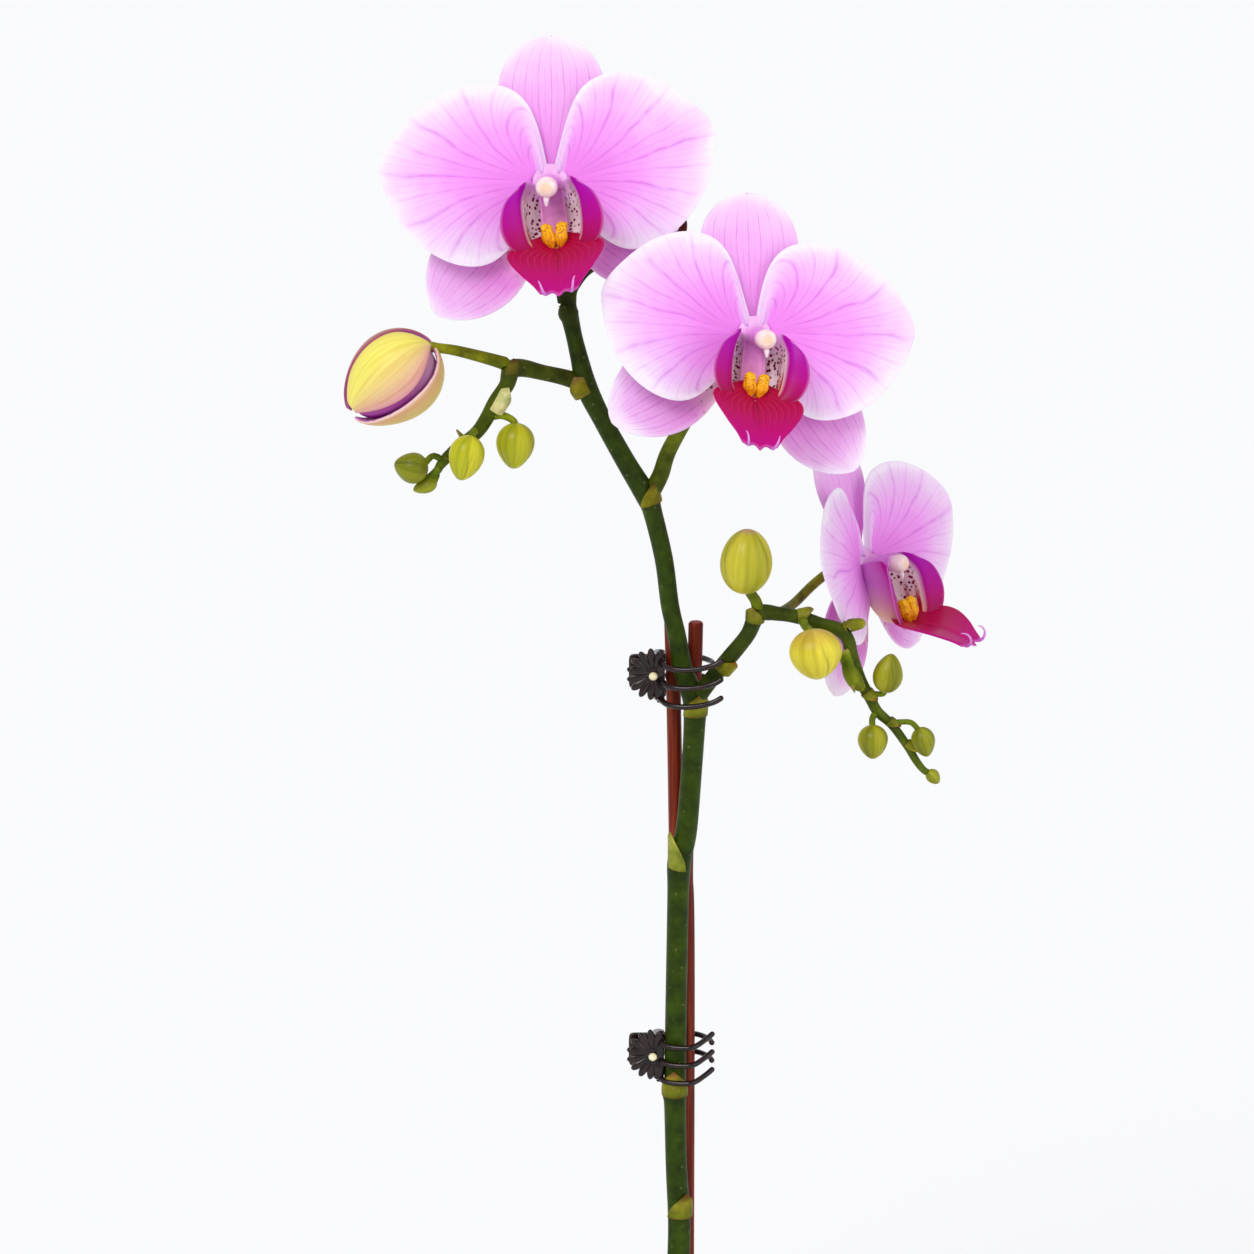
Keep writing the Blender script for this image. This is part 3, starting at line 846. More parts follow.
def tissue(name, ramp, vein_code, octaves, fan, spots_at=None, roughness=0.48):
    """Petal and sepal tissue: a soft satin surface of tiny domed cells. Its colour runs from the claw to a
    near white rim, and the veins are drawn over it. Fan draws the veins in towards the claw."""
    finish, tree, shader = new_finish(name, Roughness=roughness, IOR=1.2,
                                      Subsurface_Weight=0.12, Subsurface_Scale=0.003)
    place = add(tree, "TexCoord", output=3)
    flow = add(tree, "SeparateXYZ", {0: add(tree, "UVMap", uv_map="UVMap")}, output=1)
    side = add(tree, "SeparateXYZ", {0: add(tree, "UVMap", uv_map="UVMap")}, output=0)
    side = add(tree, "Math", {0: side, 1: 2.0, 2: -1.0}, operation="MULTIPLY_ADD")
    spread = add(tree, "Math", {0: flow, 1: 1 - fan, 2: fan}, operation="MULTIPLY_ADD")
    across = add(tree, "Math", {0: side, 1: spread}, operation="DIVIDE")
    cloud = add(tree, "TexNoise", {"Vector": place, "Scale": 90.0, "Detail": 1.0})
    wobble = add(tree, "Math", {0: cloud, 1: 1.2, 2: -0.6}, operation="MULTIPLY_ADD")
    veins = vein_field(tree, flow, across, wobble, octaves)
    broken = add(tree, "MapRange", {0: add(tree, "TexNoise", {"Vector": place, "Scale": 260.0, "Detail": 3.0}),
                                    1: 0.3, 2: 0.6, 3: 0.35, 4: 1.0})
    veins = add(tree, "Math", {0: veins, 1: broken}, operation="MULTIPLY")
    edge_fade = add(tree, "MapRange", {0: flow, 1: 0.8, 2: 1.0, 3: 1.0, 4: 0.25})
    veins = add(tree, "Math", {0: veins, 1: edge_fade}, operation="MULTIPLY")
    mottle = add(tree, "MapRange", {0: add(tree, "TexNoise", {"Vector": place, "Scale": 75.0, "Detail": 5.0}),
                                    1: 0.35, 2: 0.7, 3: -0.07, 4: 0.07})
    wide = add(tree, "Math", {0: side, 1: side}, operation="MULTIPLY")
    wide = add(tree, "Math", {0: wide, 1: 0.1, 2: mottle}, operation="MULTIPLY_ADD")
    tone = add(tree, "ValToRGB", {0: add(tree, "Math", {0: flow, 1: wide}, operation="ADD")}, stops=ramp)
    tone = add(tree, "Mix", {0: veins, 6: tone, 7: vein_code}, output=2, data_type="RGBA")
    margin = add(tree, "MapRange", {0: add(tree, "Math", {0: side}, operation="ABSOLUTE"), 1: 0.88, 2: 1.0, 3: 0.0,
                                    4: 0.4}, interpolation_type="SMOOTHSTEP")
    tone = add(tree, "Mix", {0: margin, 6: tone, 7: "#F6E4F8"}, output=2, data_type="RGBA")
    if spots_at:
        low, high, code = spots_at
        dots = add(tree, "TexVoronoi", {"Vector": place, "Scale": 560.0, "Randomness": 0.9})
        dots = add(tree, "MapRange", {0: dots, 1: 0.24, 2: 0.36, 3: 0.9, 4: 0.0})
        near = add(tree, "MapRange", {0: flow, 1: low, 2: high, 3: 1.0, 4: 0.0}, interpolation_type="SMOOTHSTEP")
        inner = add(tree, "MapRange", {0: side, 1: -0.7, 2: -0.2, 3: 0.0, 4: 1.0})
        near = add(tree, "Math", {0: near, 1: inner}, operation="MULTIPLY")
        cream = add(tree, "Math", {0: near, 1: 0.7}, operation="MULTIPLY")
        tone = add(tree, "Mix", {0: cream, 6: tone, 7: "#F2D4DC"}, output=2, data_type="RGBA")
        dots = add(tree, "Math", {0: dots, 1: near}, operation="MULTIPLY")
        tone = add(tree, "Mix", {0: dots, 6: tone, 7: code}, output=2, data_type="RGBA")
    tree.links.new(tone, shader.inputs["Base Color"])
    cells = add(tree, "TexNoise", {"Vector": place, "Scale": 1800.0, "Detail": 1.0})
    relief = add(tree, "Math", {0: veins, 1: -0.6, 2: cells}, operation="MULTIPLY_ADD")
    tree.links.new(add(tree, "Bump", {"Height": relief, "Strength": 0.22, "Distance": 0.00025}), shader.inputs["Normal"])
    return finish


petal_tissue = tissue(
    "Petal tissue, lilac pink", [(0.0, "#F08CEC"), (0.25, "#F090EE"), (0.5, "#F0A0F0"), (0.75, "#F0BCF2"),
                                 (0.93, "#F2D8F5"), (1.02, "#F6E8F8")],
    "#C848D0", [(3.0, 0.6, 0.0, 6.0), (6.0, 0.42, 0.1, 5.0), (12.0, 0.26, 0.3, 3.0), (24.0, 0.24, 0.5, 2.5),
                (44.0, 0.24, 0.6, 2.0)], 0.52)
sepal_tissue = tissue(
    "Sepal tissue, pale lilac pink", [(0.0, "#EC92E8"), (0.3, "#F0A0EC"), (0.65, "#F0B4EE"), (0.88, "#F2CCF2"),
                                      (1.02, "#F6E6F8")],
    "#CC50CC", [(4.0, 0.62, 0.0, 7.0), (8.0, 0.32, 0.2, 4.0), (16.0, 0.22, 0.4, 2.5)], 0.9)
spotted_tissue = tissue(
    "Sepal tissue, pink with maroon freckles",
    [(0.0, "#D070B4"), (0.3, "#D878C8"), (0.6, "#E08CDA"), (0.85, "#ECB8EC"), (1.02, "#F6E6F8")],
    "#B83CBC", [(4.0, 0.66, 0.0, 6.0), (8.0, 0.38, 0.2, 4.0), (16.0, 0.26, 0.4, 2.5)], 0.9, (0.3, 0.56, "#6E1040"))


def petal_middle(angle, reach, side, phase, cup):
    """A kidney fan: rays leave a narrow claw over a spread of angles, each as long as the rim is there. The
    rim shortens by a power of the angle, and it ends in a slight point. The sheet bulges as a squared sine
    and its rim waves gently."""
    u, v = np.meshgrid(np.sin(np.linspace(0, np.pi / 2, 61)) ** 0.9, 2 * round_ends(132) - 1, indexing="ij")
    turn = ACROSS_SPREAD * v
    rim = reach * (1 - 0.09 * (np.abs(turn) / 20) ** 1.3) * (1 - 0.16 * v**8) * (1 - np.abs(v) ** 26) ** 0.3
    rim = rim * (1 + 0.018 * np.exp(-((turn - 5) / 7) ** 2))
    direction = np.radians(angle + turn + (77 - angle - ACROSS_SPREAD) * np.clip(v, 0, 1) ** 5)
    fan = 0.02 + 0.98 * u
    out = 3.6 + (rim * np.cos(direction) - 3.6) * fan
    up = 2.0 * v + (rim * np.sin(direction) - 2.0 * v) * fan
    depth = -0.2 - 0.02 * np.hypot(out, up) - 1.6 * np.sin(np.pi * u) ** 2 - math.tan(math.radians(cup)) * out
    depth = depth + 0.55 * u**3 * np.sin(turn / 11 + phase) + 0.16 * u**2 * np.sin(turn / 4.5 + 2 * phase)
    depth = depth + 0.35 * np.exp(-((turn - 2) / 4) ** 2) * np.sin(np.pi * np.clip(u, 0, 1))
    return stack(side * out, depth, up), 0.75 * soft_edge(u, v, 0.05, 0.02), ((v + 1) / 2, u)


def sepal_middle(angle, length, width, inner, tip, phase, start=3.8):
    """An oval blade along an angle, in the layer behind the petals: its edges follow the blade width, it
    bows a little along its middle, and its edges wave."""
    u, v = np.meshgrid(round_ends(64), 2 * round_ends(56) - 1, indexing="ij")
    cos, sin = math.cos(math.radians(angle)), math.sin(math.radians(angle))
    notch = 1 - 0.012 * np.exp(-((v / 0.35) ** 2)) * (u > 0.9)
    out = start + (length - start) * u * notch
    beside = width / 2 * blade_width(u, 0.24, 1.25, tip) * v
    depth = LAYER + 0.055 * out - 0.6 * v * v * np.sin(np.pi * u)
    depth = depth + 0.4 * np.sin(5 * u + phase) * v**3 + 0.3 * np.exp(-((v / 0.12) ** 2)) * np.sin(np.pi * u)
    spots = stack(out * cos - beside * sin, depth, out * sin + beside * cos)
    return spots, 0.75 * soft_edge(u, v, 0.07, 0.02), ((inner * v + 1) / 2, u)


def flower_place(flower, spots):
    """Moves points from a flower's own frame, X right, Y away and Z up, to the pot's frame."""
    matrix = np.array(Matrix.Rotation(math.radians(flower["yaw"]), 3, "Z")
                      @ Matrix.Rotation(math.radians(-flower["pitch"]), 3, "X"))
    return spots @ matrix.T * flower["scale"] + np.add(flower["centre"], SPIKE_MIDDLE)


for number, flower in enumerate(FLOWERS, 1):
    left, right = flower["laterals"]
    left_cup, right_cup = flower["cups"]
    organs = [
        ("dorsal_sepal", sepal_middle(flower["dorsal"], 40.5, 29.5, 1, 0.5, number), sepal_tissue),
        ("lateral_sepal_left", sepal_middle(left, flower["lengths"][0], 26.5, 1, 0.66, number + 1), spotted_tissue),
        ("lateral_sepal_right", sepal_middle(right, flower["lengths"][1], 26.5, -1, 0.66, number + 2), spotted_tissue),
        ("petal_left", petal_middle(flower["petals"][0], 46.5, -1, number * 2.1, left_cup), petal_tissue),
        ("petal_right", petal_middle(flower["petals"][1], 46.5, 1, number * 1.3, right_cup), petal_tissue),
    ]
    for organ, (spots, thick, uv), finish in organs:
        name = f"flower_{number}_{organ}"
        grids = two_faces(flower_place(flower, spots), thick * flower["scale"], uv)
        make_piece(name + "_blade", grids, finish, name)

# ---------------------------------------------------------------------------------------------------
# Lips: each is one stiff waxy cup with two raised wings, a tongue below with two curled tails, and a
# warty yellow callus where they meet. The wings are cream inside, freckled and striped, magenta outside.

WING_ROWS = [  # from the cup's floor up one wing: x, forward, up at the root, the wall, the fold and the edge
    [(0.0, 7.0, -17.4), (0.0, 9.4, -18.4), (0.0, 11.4, -19.2), (0.0, 12.8, -20.0)],
    [(1.6, 6.2, -16.8), (3.0, 9.4, -17.8), (4.0, 12.0, -18.8), (5.0, 13.0, -19.8)],
    [(1.9, 4.0, -15.4), (4.8, 8.4, -17.4), (5.8, 12.4, -18.5), (8.6, 14.0, -19.4)],
    [(2.0, 1.6, -13.0), (6.6, 6.0, -15.2), (7.6, 12.6, -16.4), (12.4, 15.2, -17.2)],
    [(2.0, -0.6, -9.4), (7.4, 4.6, -10.6), (8.4, 12.4, -11.4), (14.2, 15.6, -11.6)],
    [(2.0, -1.2, -5.2), (6.8, 4.4, -4.6), (8.2, 11.8, -5.0), (12.4, 14.6, -5.2)],
    [(1.8, -1.2, -1.2), (4.8, 3.4, 0.2), (6.2, 9.0, 0.4), (7.8, 12.0, -1.0)],
]

lip_wax, tree, shader = new_finish("Lip tissue, waxy magenta", Roughness=0.34, IOR=1.22,
                                   Subsurface_Weight=0.06, Subsurface_Scale=0.002)
place = add(tree, "TexCoord", output=3)
tint = add(tree, "VertexColor", layer_name="tint")
flow = add(tree, "SeparateXYZ", {0: add(tree, "UVMap", uv_map="UVMap")}, output=1)
side = add(tree, "SeparateXYZ", {0: add(tree, "UVMap", uv_map="UVMap")}, output=0)
freckle_mask = add(tree, "VertexColor", layer_name="marks")
freckles = add(tree, "SeparateXYZ", {0: freckle_mask}, output=0)
stripe_share = add(tree, "SeparateXYZ", {0: freckle_mask}, output=1)
vein_share = add(tree, "SeparateXYZ", {0: freckle_mask}, output=2)
dots = add(tree, "TexVoronoi", {"Vector": place, "Scale": 820.0, "Randomness": 1.0})
dots = add(tree, "MapRange", {0: dots, 1: 0.34, 2: 0.42, 3: 1.0, 4: 0.0})
tone = add(tree, "Mix", {0: add(tree, "Math", {0: dots, 1: freckles}, operation="MULTIPLY"), 6: tint, 7: "#7C1440"},
           output=2, data_type="RGBA")
bands = add(tree, "Math", {0: flow, 1: 46.0}, operation="MULTIPLY")
bands = add(tree, "Math", {0: add(tree, "Math", {0: bands}, operation="SINE"), 1: 0.2, 2: 0.5}, operation="SUBTRACT")
bands = add(tree, "MapRange", {0: bands, 1: 0.0, 2: 0.35, 3: 0.0, 4: 1.0})
tone = add(tree, "Mix", {0: add(tree, "Math", {0: bands, 1: stripe_share}, operation="MULTIPLY"), 6: tone,
                         7: "#A81428"}, output=2, data_type="RGBA")
rays = vein_field(tree, flow, add(tree, "Math", {0: side, 1: 2.0, 2: -1.0}, operation="MULTIPLY_ADD"),
                  add(tree, "Math", {0: 0.6, 1: 0.0}, operation="ADD"), [(7.0, 0.5, 0.0, 5.0), (14.0, 0.3, 0.2, 4.0)])
tone = add(tree, "Mix", {0: add(tree, "Math", {0: rays, 1: vein_share}, operation="MULTIPLY"), 6: tone, 7: "#D84AA0"},
           output=2, data_type="RGBA")
tree.links.new(tone, shader.inputs["Base Color"])
cells = add(tree, "TexNoise", {"Vector": place, "Scale": 1400.0, "Detail": 1.0})
tree.links.new(add(tree, "Bump", {"Height": cells, "Strength": 0.15, "Distance": 0.0002}), shader.inputs["Normal"])

callus_wax, tree, shader = new_finish("Callus, warty orange yellow", Roughness=0.32, IOR=1.3)
place = add(tree, "TexCoord", output=3)
squiggle = add(tree, "TexNoise", {"Vector": place, "Scale": 520.0, "Detail": 2.0, "Distortion": 1.6})
squiggle = add(tree, "Math", {0: add(tree, "Math", {0: squiggle, 1: 0.52}, operation="SUBTRACT")}, operation="ABSOLUTE")
squiggle = add(tree, "MapRange", {0: squiggle, 1: 0.012, 2: 0.03, 3: 0.85, 4: 0.0})
tint = add(tree, "VertexColor", layer_name="tint")
tone = add(tree, "Mix", {0: squiggle, 6: tint, 7: "#A83410"}, output=2, data_type="RGBA")
tree.links.new(tone, shader.inputs["Base Color"])
warts = add(tree, "TexVoronoi", {"Vector": place, "Scale": 700.0})
tree.links.new(add(tree, "Bump", {"Height": warts, "Strength": 0.4, "Distance": 0.0004}), shader.inputs["Normal"])


def control_surface(net, along, across):
    """A smooth surface through a net of points: Catmull-Rom curves down its columns, then along its rows.
    The points are x, forward and up, and forward is -Y."""
    net = np.asarray(net, float)
    down = np.stack([smooth_route(net[:, column], along) for column in range(net.shape[1])], 1)
    full = np.stack([smooth_route(row, across) for row in down], 0)
    return stack(full[..., 0], -full[..., 1], full[..., 2])


def lip_place(flower, spots):
    """Rolls points about the flower's own axis, sizes them, and moves them to the pot's frame."""
    matrix = np.array(Matrix.Rotation(math.radians(flower["lip_roll"]), 3, "Y"))
    return flower_place(flower, spots @ matrix.T * flower["lip_scale"])


def wings():
    """Both wings and the cup's floor as one sheet: the net's rows run from the right top down through the
    floor and up to the left top, its columns from the deep root out to the edge."""
    right = np.array(WING_ROWS[::-1], float)
    left = np.array(WING_ROWS[1:], float) * (-1, 1, 1)
    spots = control_surface(np.vstack([right, left]), 14, 16)
    rows, columns = spots.shape[:2]
    u, v = np.meshgrid(np.linspace(-1, 1, rows), np.linspace(0, 1, columns), indexing="ij")
    lift = np.abs(u)
    inner = blend("#F0A060", "#F2DCE2", (lift - 0.3) / 0.2)
    inner = blend(inner, "#DDA0DC", (lift - 0.8) / 0.2)
    magenta = blend(blend("#9C0030", "#B00078", (lift - 0.36) / 0.3), "#A800A4", (lift - 0.6) / 0.3)
    front = blend(inner, magenta, (v - 0.6) / 0.08 + 0.35 * np.clip(1 - lift / 0.3, 0, 1) * (v - 0.75) * 8)
    front = blend(front, "#EC8A48", 1.6 * np.clip(1 - np.abs(v - 0.52) / 0.16, 0, 1) * np.clip(1 - np.abs(lift - 0.4) / 0.3, 0, 1))
    back = blend("#E8C8A8", "#D890D8", (lift - 0.55) / 0.25)
    back = blend(back, blend("#A8003C", "#B4008C", (lift - 0.4) / 0.3), (v - 0.35) / 0.4)
    edge = np.clip((v - 0.97) / 0.03, 0, 1) * 0.35
    front, back = blend(front, "#F0B8F0", edge), blend(back, "#F0B8F0", edge)
    near = np.minimum(np.minimum((1 - np.abs(u)) / 0.05, (1 - v) / 0.12), v / 0.03)
    thick = 0.8 * np.sqrt(np.clip(1 - (1 - np.clip(near, 0, 1)) ** 2, 0, 1))
    freckles = np.clip((lift - 0.34) / 0.1, 0, 1) * np.clip((0.62 - v) / 0.06, 0, 1) * np.clip((0.96 - lift) / 0.1, 0, 1)
    stripes = np.clip(1 - np.abs(v - 0.53) / 0.2, 0, 1) * np.clip(1 - np.abs(lift - 0.44) / 0.34, 0, 1) * 2.4
    marks = np.stack([freckles, np.clip(stripes, 0, 1), np.zeros_like(u)], -1)
    return spots, thick, ((u + 1) / 2, v), (front, back), marks


def tongue(hang):
    """The tongue: a shield that leaves the cup at the hang angle below level. Its half width follows a few
    hand-set points, its sides lift into a shallow boat, and its corners sweep back beside its root."""
    u, v = np.meshgrid(np.linspace(0, 1, 64), 2 * round_ends(64) - 1, indexing="ij")
    shape = smooth_route([(0, 2.6), (0.1, 6.6), (0.22, 11.0), (0.34, 13.2), (0.5, 12.8), (0.7, 10.0), (0.86, 7.0), (0.96, 5.6), (1.0, 5.2)])
    half = np.interp(u, shape[:, 0], shape[:, 1])
    h = math.radians(hang)
    ahead, lift = np.array((0, -math.cos(h), -math.sin(h))), np.array((0, -math.sin(h), math.cos(h)))
    tip = 1 + 0.04 * np.exp(-((v / 0.2) ** 2)) * u**8 + 0.02 * np.cos(3 * np.pi * v) * u**10
    run = 20.0 * u * tip - 6.0 * v * v * (1 - u) ** 1.2
    rise = 1.2 * np.sin(np.pi * u) + 2.0 * np.abs(v) ** 1.6 * np.sin(np.pi * np.clip(u * 0.8 + 0.16, 0, 1)) - 0.5 * np.exp(-((v / 0.1) ** 2)) * (1 - u * 0.6)
    spots = np.array((0, -11.4, -19.0)) + run[..., None] * ahead + rise[..., None] * lift
    spots = spots + (half * v)[..., None] * np.array((1, 0, 0))
    front = blend("#A4002C", "#AE0048", u / 0.4)
    front = blend(front, "#B80078", (u - 0.4) / 0.5)
    front = blend(front, "#6E0A34", 0.8 * np.exp(-((v / 0.035) ** 2)) * np.clip(1 - u * 1.5, 0, 1))
    front = blend(front, "#D880D8", np.clip((u - 0.95) / 0.05, 0, 1) * 0.5)
    back = blend("#A00048", "#B40090", u / 0.5)
    marks = np.stack([np.zeros_like(u), np.zeros_like(u), np.clip(1 - u * 1.2, 0, 1) * 0.9], -1)
    return spots, 0.8 * soft_edge(u, v, 0.07, 0.03), ((v + 1) / 2, u), (front, back), marks, ahead, lift


def whisker(side, root, ahead, lift):
    """A tail at the tongue's tip: a thin tube along a spiral that curls up and back over the tongue."""
    turn = np.linspace(0, math.radians(205), 12)
    radius = np.linspace(2.4, 1.9, 12)
    path = root + (radius * np.sin(turn))[:, None] * ahead + (radius * (1 - np.cos(turn)))[:, None] * lift
    path = path + (side * (3.2 + 0.5 * turn))[:, None] * np.array((1, 0, 0))
    spots, uv = tube(np.c_[path, np.linspace(0.55, 0.12, 12)], 12, 0.3, (1, 0, 0))
    return spots, uv, blend("#B428B0", "#D894DC", uv[1] * 1.6)


def add_marks(piece, grids_marks):
    """Stores how much freckle, stripe and vein each point shows. Points keep the order of a fresh mesh, so
    the values are looked up by the nearest grid point's place in the flattened grids."""
    tree_points = np.vstack([spots.reshape(-1, 3) for spots, _ in grids_marks]) * MM
    values = np.vstack([marks.reshape(-1, 3) for _, marks in grids_marks])
    mesh = piece.data
    places = np.empty(len(mesh.vertices) * 3)
    mesh.vertices.foreach_get("co", places)
    from mathutils.kdtree import KDTree
    kd = KDTree(len(tree_points))
    for i, spot in enumerate(tree_points):
        kd.insert(spot, i)
    kd.balance()
    found = [kd.find(place)[1] for place in places.reshape(-1, 3)]
    colours = np.c_[values[found], np.ones(len(found))]
    mesh.color_attributes.new("marks", "FLOAT_COLOR", "POINT").data.foreach_set("color", colours.ravel())


def callus_grids():
    """Two upright warty lobes that lean apart from one foot: egg shapes whose radius wobbles, toothed at
    the top."""
    made = []
    polar, around = on_grid(24, 32, 0, 2 * math.pi)
    polar = polar * math.pi
    for side in (-1, 1):
        bumps = 1 + 0.1 * np.sin(4 * around + side) * np.sin(3 * polar) + 0.08 * np.sin(7 * around)
        bumps = bumps * (1 + 0.12 * np.cos(polar * 5))
        x = 1.9 * np.sin(polar) * np.cos(around) * bumps
        y = 1.9 * np.sin(polar) * np.sin(around) * bumps
        z = -3.7 * np.cos(polar)
        x = side * (1.2 + 0.14 * (z + 3.7)) + x * (0.75 + 0.05 * (z + 3.7))
        spots = stack(x, y - 11.2, z - 15.4)
        made.append((spots, (around, polar), blend("#F09A10", "#F8B808", (z + 2) / 4)))
    return made


for number, flower in enumerate(FLOWERS, 1):
    name = f"flower_{number}_lip"
    spots, thick, uv, tints, marks = wings()
    cup_grids = two_faces(lip_place(flower, spots), thick * flower["scale"], uv, tints)
    made = [(cup_grids[0][0], marks), *[(grid[0], np.zeros(grid[0].shape)) for grid in cup_grids[1:]]]
    spots, thick, uv, tints, marks, ahead, lift = tongue(flower["hang"])
    tongue_grids = two_faces(lip_place(flower, spots), thick * flower["scale"], uv, tints)
    made += [(grid[0], marks) for grid in tongue_grids]
    root = spots[-6, spots.shape[1] // 2]
    tails = [whisker(side, root, ahead, lift) for side in (-1, 1)]
    tails = [(lip_place(flower, grid), uv, shade) for grid, uv, shade in tails]
    made += [(grid[0], np.zeros(grid[0].shape)) for grid in tails]
    piece = make_piece(name + "_cup", [*cup_grids, *tongue_grids, *tails], lip_wax, name)
    add_marks(piece, made)
    warty = [(lip_place(flower, grid), uv, shade) for grid, uv, shade in callus_grids()]
    make_piece(name + "_callus", warty, callus_wax, name)

# ---------------------------------------------------------------------------------------------------
# Columns: the fused stamen and pistil, a short waxy tube that stands out over the lip. It ends in a pale
# cap over the pollen, with a small beak below, and its foot runs down to the lip as a pink wall.

column_wax, tree, shader = new_finish("Column, waxy pink with a cream cap", Roughness=0.3, IOR=1.3,
                                      Subsurface_Weight=0.12, Subsurface_Scale=0.002)
place = add(tree, "TexCoord", output=3)
tint = add(tree, "VertexColor", layer_name="tint")
cloud = add(tree, "TexNoise", {"Vector": place, "Scale": 420.0, "Detail": 3.0})
tone = add(tree, "ValToRGB", {0: cloud}, stops=[(0.3, "#EFE6EC"), (0.7, "#FFFFFF")])
tone = add(tree, "Mix", {0: 1.0, 6: tint, 7: tone}, output=2, data_type="RGBA", blend_type="MULTIPLY")
tree.links.new(tone, shader.inputs["Base Color"])
tree.links.new(add(tree, "Bump", {"Height": cloud, "Strength": 0.1, "Distance": 0.0002}), shader.inputs["Normal"])


def column_grids():
    """A turned tube with a ball cap, tipped forward and down, a beak, and a foot: a strip bent round a
    quarter turn that falls from under the tube to the lip."""
    profile = [(0, -2.4), (3.4, -2.2), (5.6, -1.2), (5.0, -0.2), (3.6, 1.0), (2.9, 3.0), (2.6, 7.5), (2.7, 9.0), (2.8, 9.8),
               (2.4, 10.3), (2.75, 11.0), (3.0, 12.4), (2.7, 13.9), (1.7, 14.9), (0, 15.2)]
    spots, uv = turned(profile, 40, 4)
    spots = stack(spots[..., 0], spots[..., 1] * 0.96, spots[..., 2])
    height = spots[..., 2]
    shade = blend("#F6C4F2", "#E490E2", height / 6)
    shade = blend(shade, "#FFEAE8", (height - 9.9) / 0.8)
    shade = blend(shade, "#F8CC90", np.clip((height - 14.7) / 0.4, 0, 1) * 0.6)
    spots = turn_and_place(spots, 98, (0, -0.6, -0.4), "X")
    beak_rows = [(0, -12.6, -4.2, 1.0), (0, -13.0, -5.8, 0.75), (0, -12.6, -7.4, 0.3)]
    beak, beak_uv = tube(beak_rows, 14, 0.3, (1, 0, 0))
    u, v = on_grid(24, 20, -1, 1)
    angle = np.radians(78) * v
    wall = stack((3.4 + 0.3 * u) * np.sin(angle), -2.0 - 4.6 * u**1.4 - 0.6 + 2.6 * (np.cos(angle) - 0.6) * (1 - 0.3 * u),
                 -2.4 - 14.0 * u)
    pink = blend("#DC86D6", "#E8A0C8", u)
    return ([(spots, uv, shade), (beak, beak_uv, tinted("#F8E4F0", beak))],
            two_faces(wall, 0.7 * soft_edge(u, v, 0.1, 0.05), (v, u), (pink, pink)))


for number, flower in enumerate(FLOWERS, 1):
    name = f"flower_{number}_column"
    upper, foot = column_grids()
    grids = [(flower_place(flower, spots), uv, shade) for spots, uv, shade in upper]
    grids += [(lip_place(flower, spots), uv, shade) for spots, uv, shade in foot]
    make_piece(name + "_cap_and_tube", grids, column_wax, name)

# ---------------------------------------------------------------------------------------------------
# Clips: two spring clips moulded in dark brown polystyrene. Each has a front jaw with three curved tines
# and a daisy finger tab with a cream bead, a back jaw with two tines, a steel pin and a torsion spring.

CLIP_PLACE = (-5.8, 3.5)
CLIPS = [("upper_clip", 168.1, 18.0, 11.9, 0.97), ("lower_clip", 54.5, 16.0, 8.4, 0.35)]
TINE_RADIUS = 0.8
TINE_STEP = 5.4
CLIP_HALF_HEIGHT = 6.2
DAISY_RADIUS = 7.6
DAISY_PETALS = 15

plastic, tree, shader = new_finish("Polystyrene, dark brown gloss", Base_Color="#180806", Roughness=0.2, IOR=1.45)
place = add(tree, "TexCoord", output=3)
cloud = add(tree, "TexNoise", {"Vector": place, "Scale": 300.0, "Detail": 2.0})
tone = add(tree, "ValToRGB", {0: cloud}, stops=[(0.3, "#100504"), (0.55, "#1C0906"), (0.75, "#2A0F0A")])
tree.links.new(tone, shader.inputs["Base Color"])
tree.links.new(add(tree, "Bump", {"Height": cloud, "Strength": 0.15, "Distance": 0.0004}), shader.inputs["Normal"])

steel, tree, shader = new_finish("Spring steel, bright drawn wire", Base_Color="#B8B8BC", Metallic=1.0, Roughness=0.28)
place = add(tree, "TexCoord", output=3)
drawn = add(tree, "TexNoise", {"Vector": place, "Scale": 2600.0, "Detail": 2.0})
tree.links.new(add(tree, "MapRange", {0: drawn, 3: 0.22, 4: 0.4}), shader.inputs["Roughness"])

pearl, tree, shader = new_finish("Moulded bead, cream", Roughness=0.22, Coat_Weight=0.5, Coat_Roughness=0.08,
                                 Subsurface_Weight=0.1, Subsurface_Scale=0.001)
place = add(tree, "TexCoord", output=3)
cloud = add(tree, "TexNoise", {"Vector": place, "Scale": 600.0})
tone = add(tree, "ValToRGB", {0: cloud}, stops=[(0.3, "#DDD0A0"), (0.7, "#F2EBCB")])
tree.links.new(tone, shader.inputs["Base Color"])


def rounded_block(low, high, radius=0.7, steps=20):
    """A block whose faces bulge into rounded corners: a ball with cosines raised to a low power, which
    squares it off, stretched to the block's size."""
    low, high = np.array(low, float), np.array(high, float)
    polar, around = on_grid(steps, 2 * steps, 0, 2 * math.pi)
    tall = np.pi * (polar - 0.5)
    power = 0.28
    squared = lambda wave: np.sign(wave) * np.abs(wave) ** power
    spots = stack(squared(np.cos(tall)) * squared(np.cos(around)), squared(np.cos(tall)) * squared(np.sin(around)),
                  squared(np.sin(tall)))
    return (low + high) / 2 + spots * (high - low) / 2, (around, polar), None


def knuckle(low, high, bore=1.1, radius=2.0):
    profile = [(bore, low), (bore + 0.2, low), (radius - 0.25, low), (radius, low + 0.25), (radius, high - 0.25),
               (radius - 0.25, high), (bore + 0.2, high), (bore, high), (bore, (low + high) / 2), (bore, low)]
    share, angle = on_grid(len(profile) - 1, 32, 0, 2 * math.pi)
    radius_at, height = np.array(profile)[:, :1], np.array(profile)[:, 1:]
    return stack(radius_at * np.cos(angle), radius_at * np.sin(angle), height), (angle, share), None


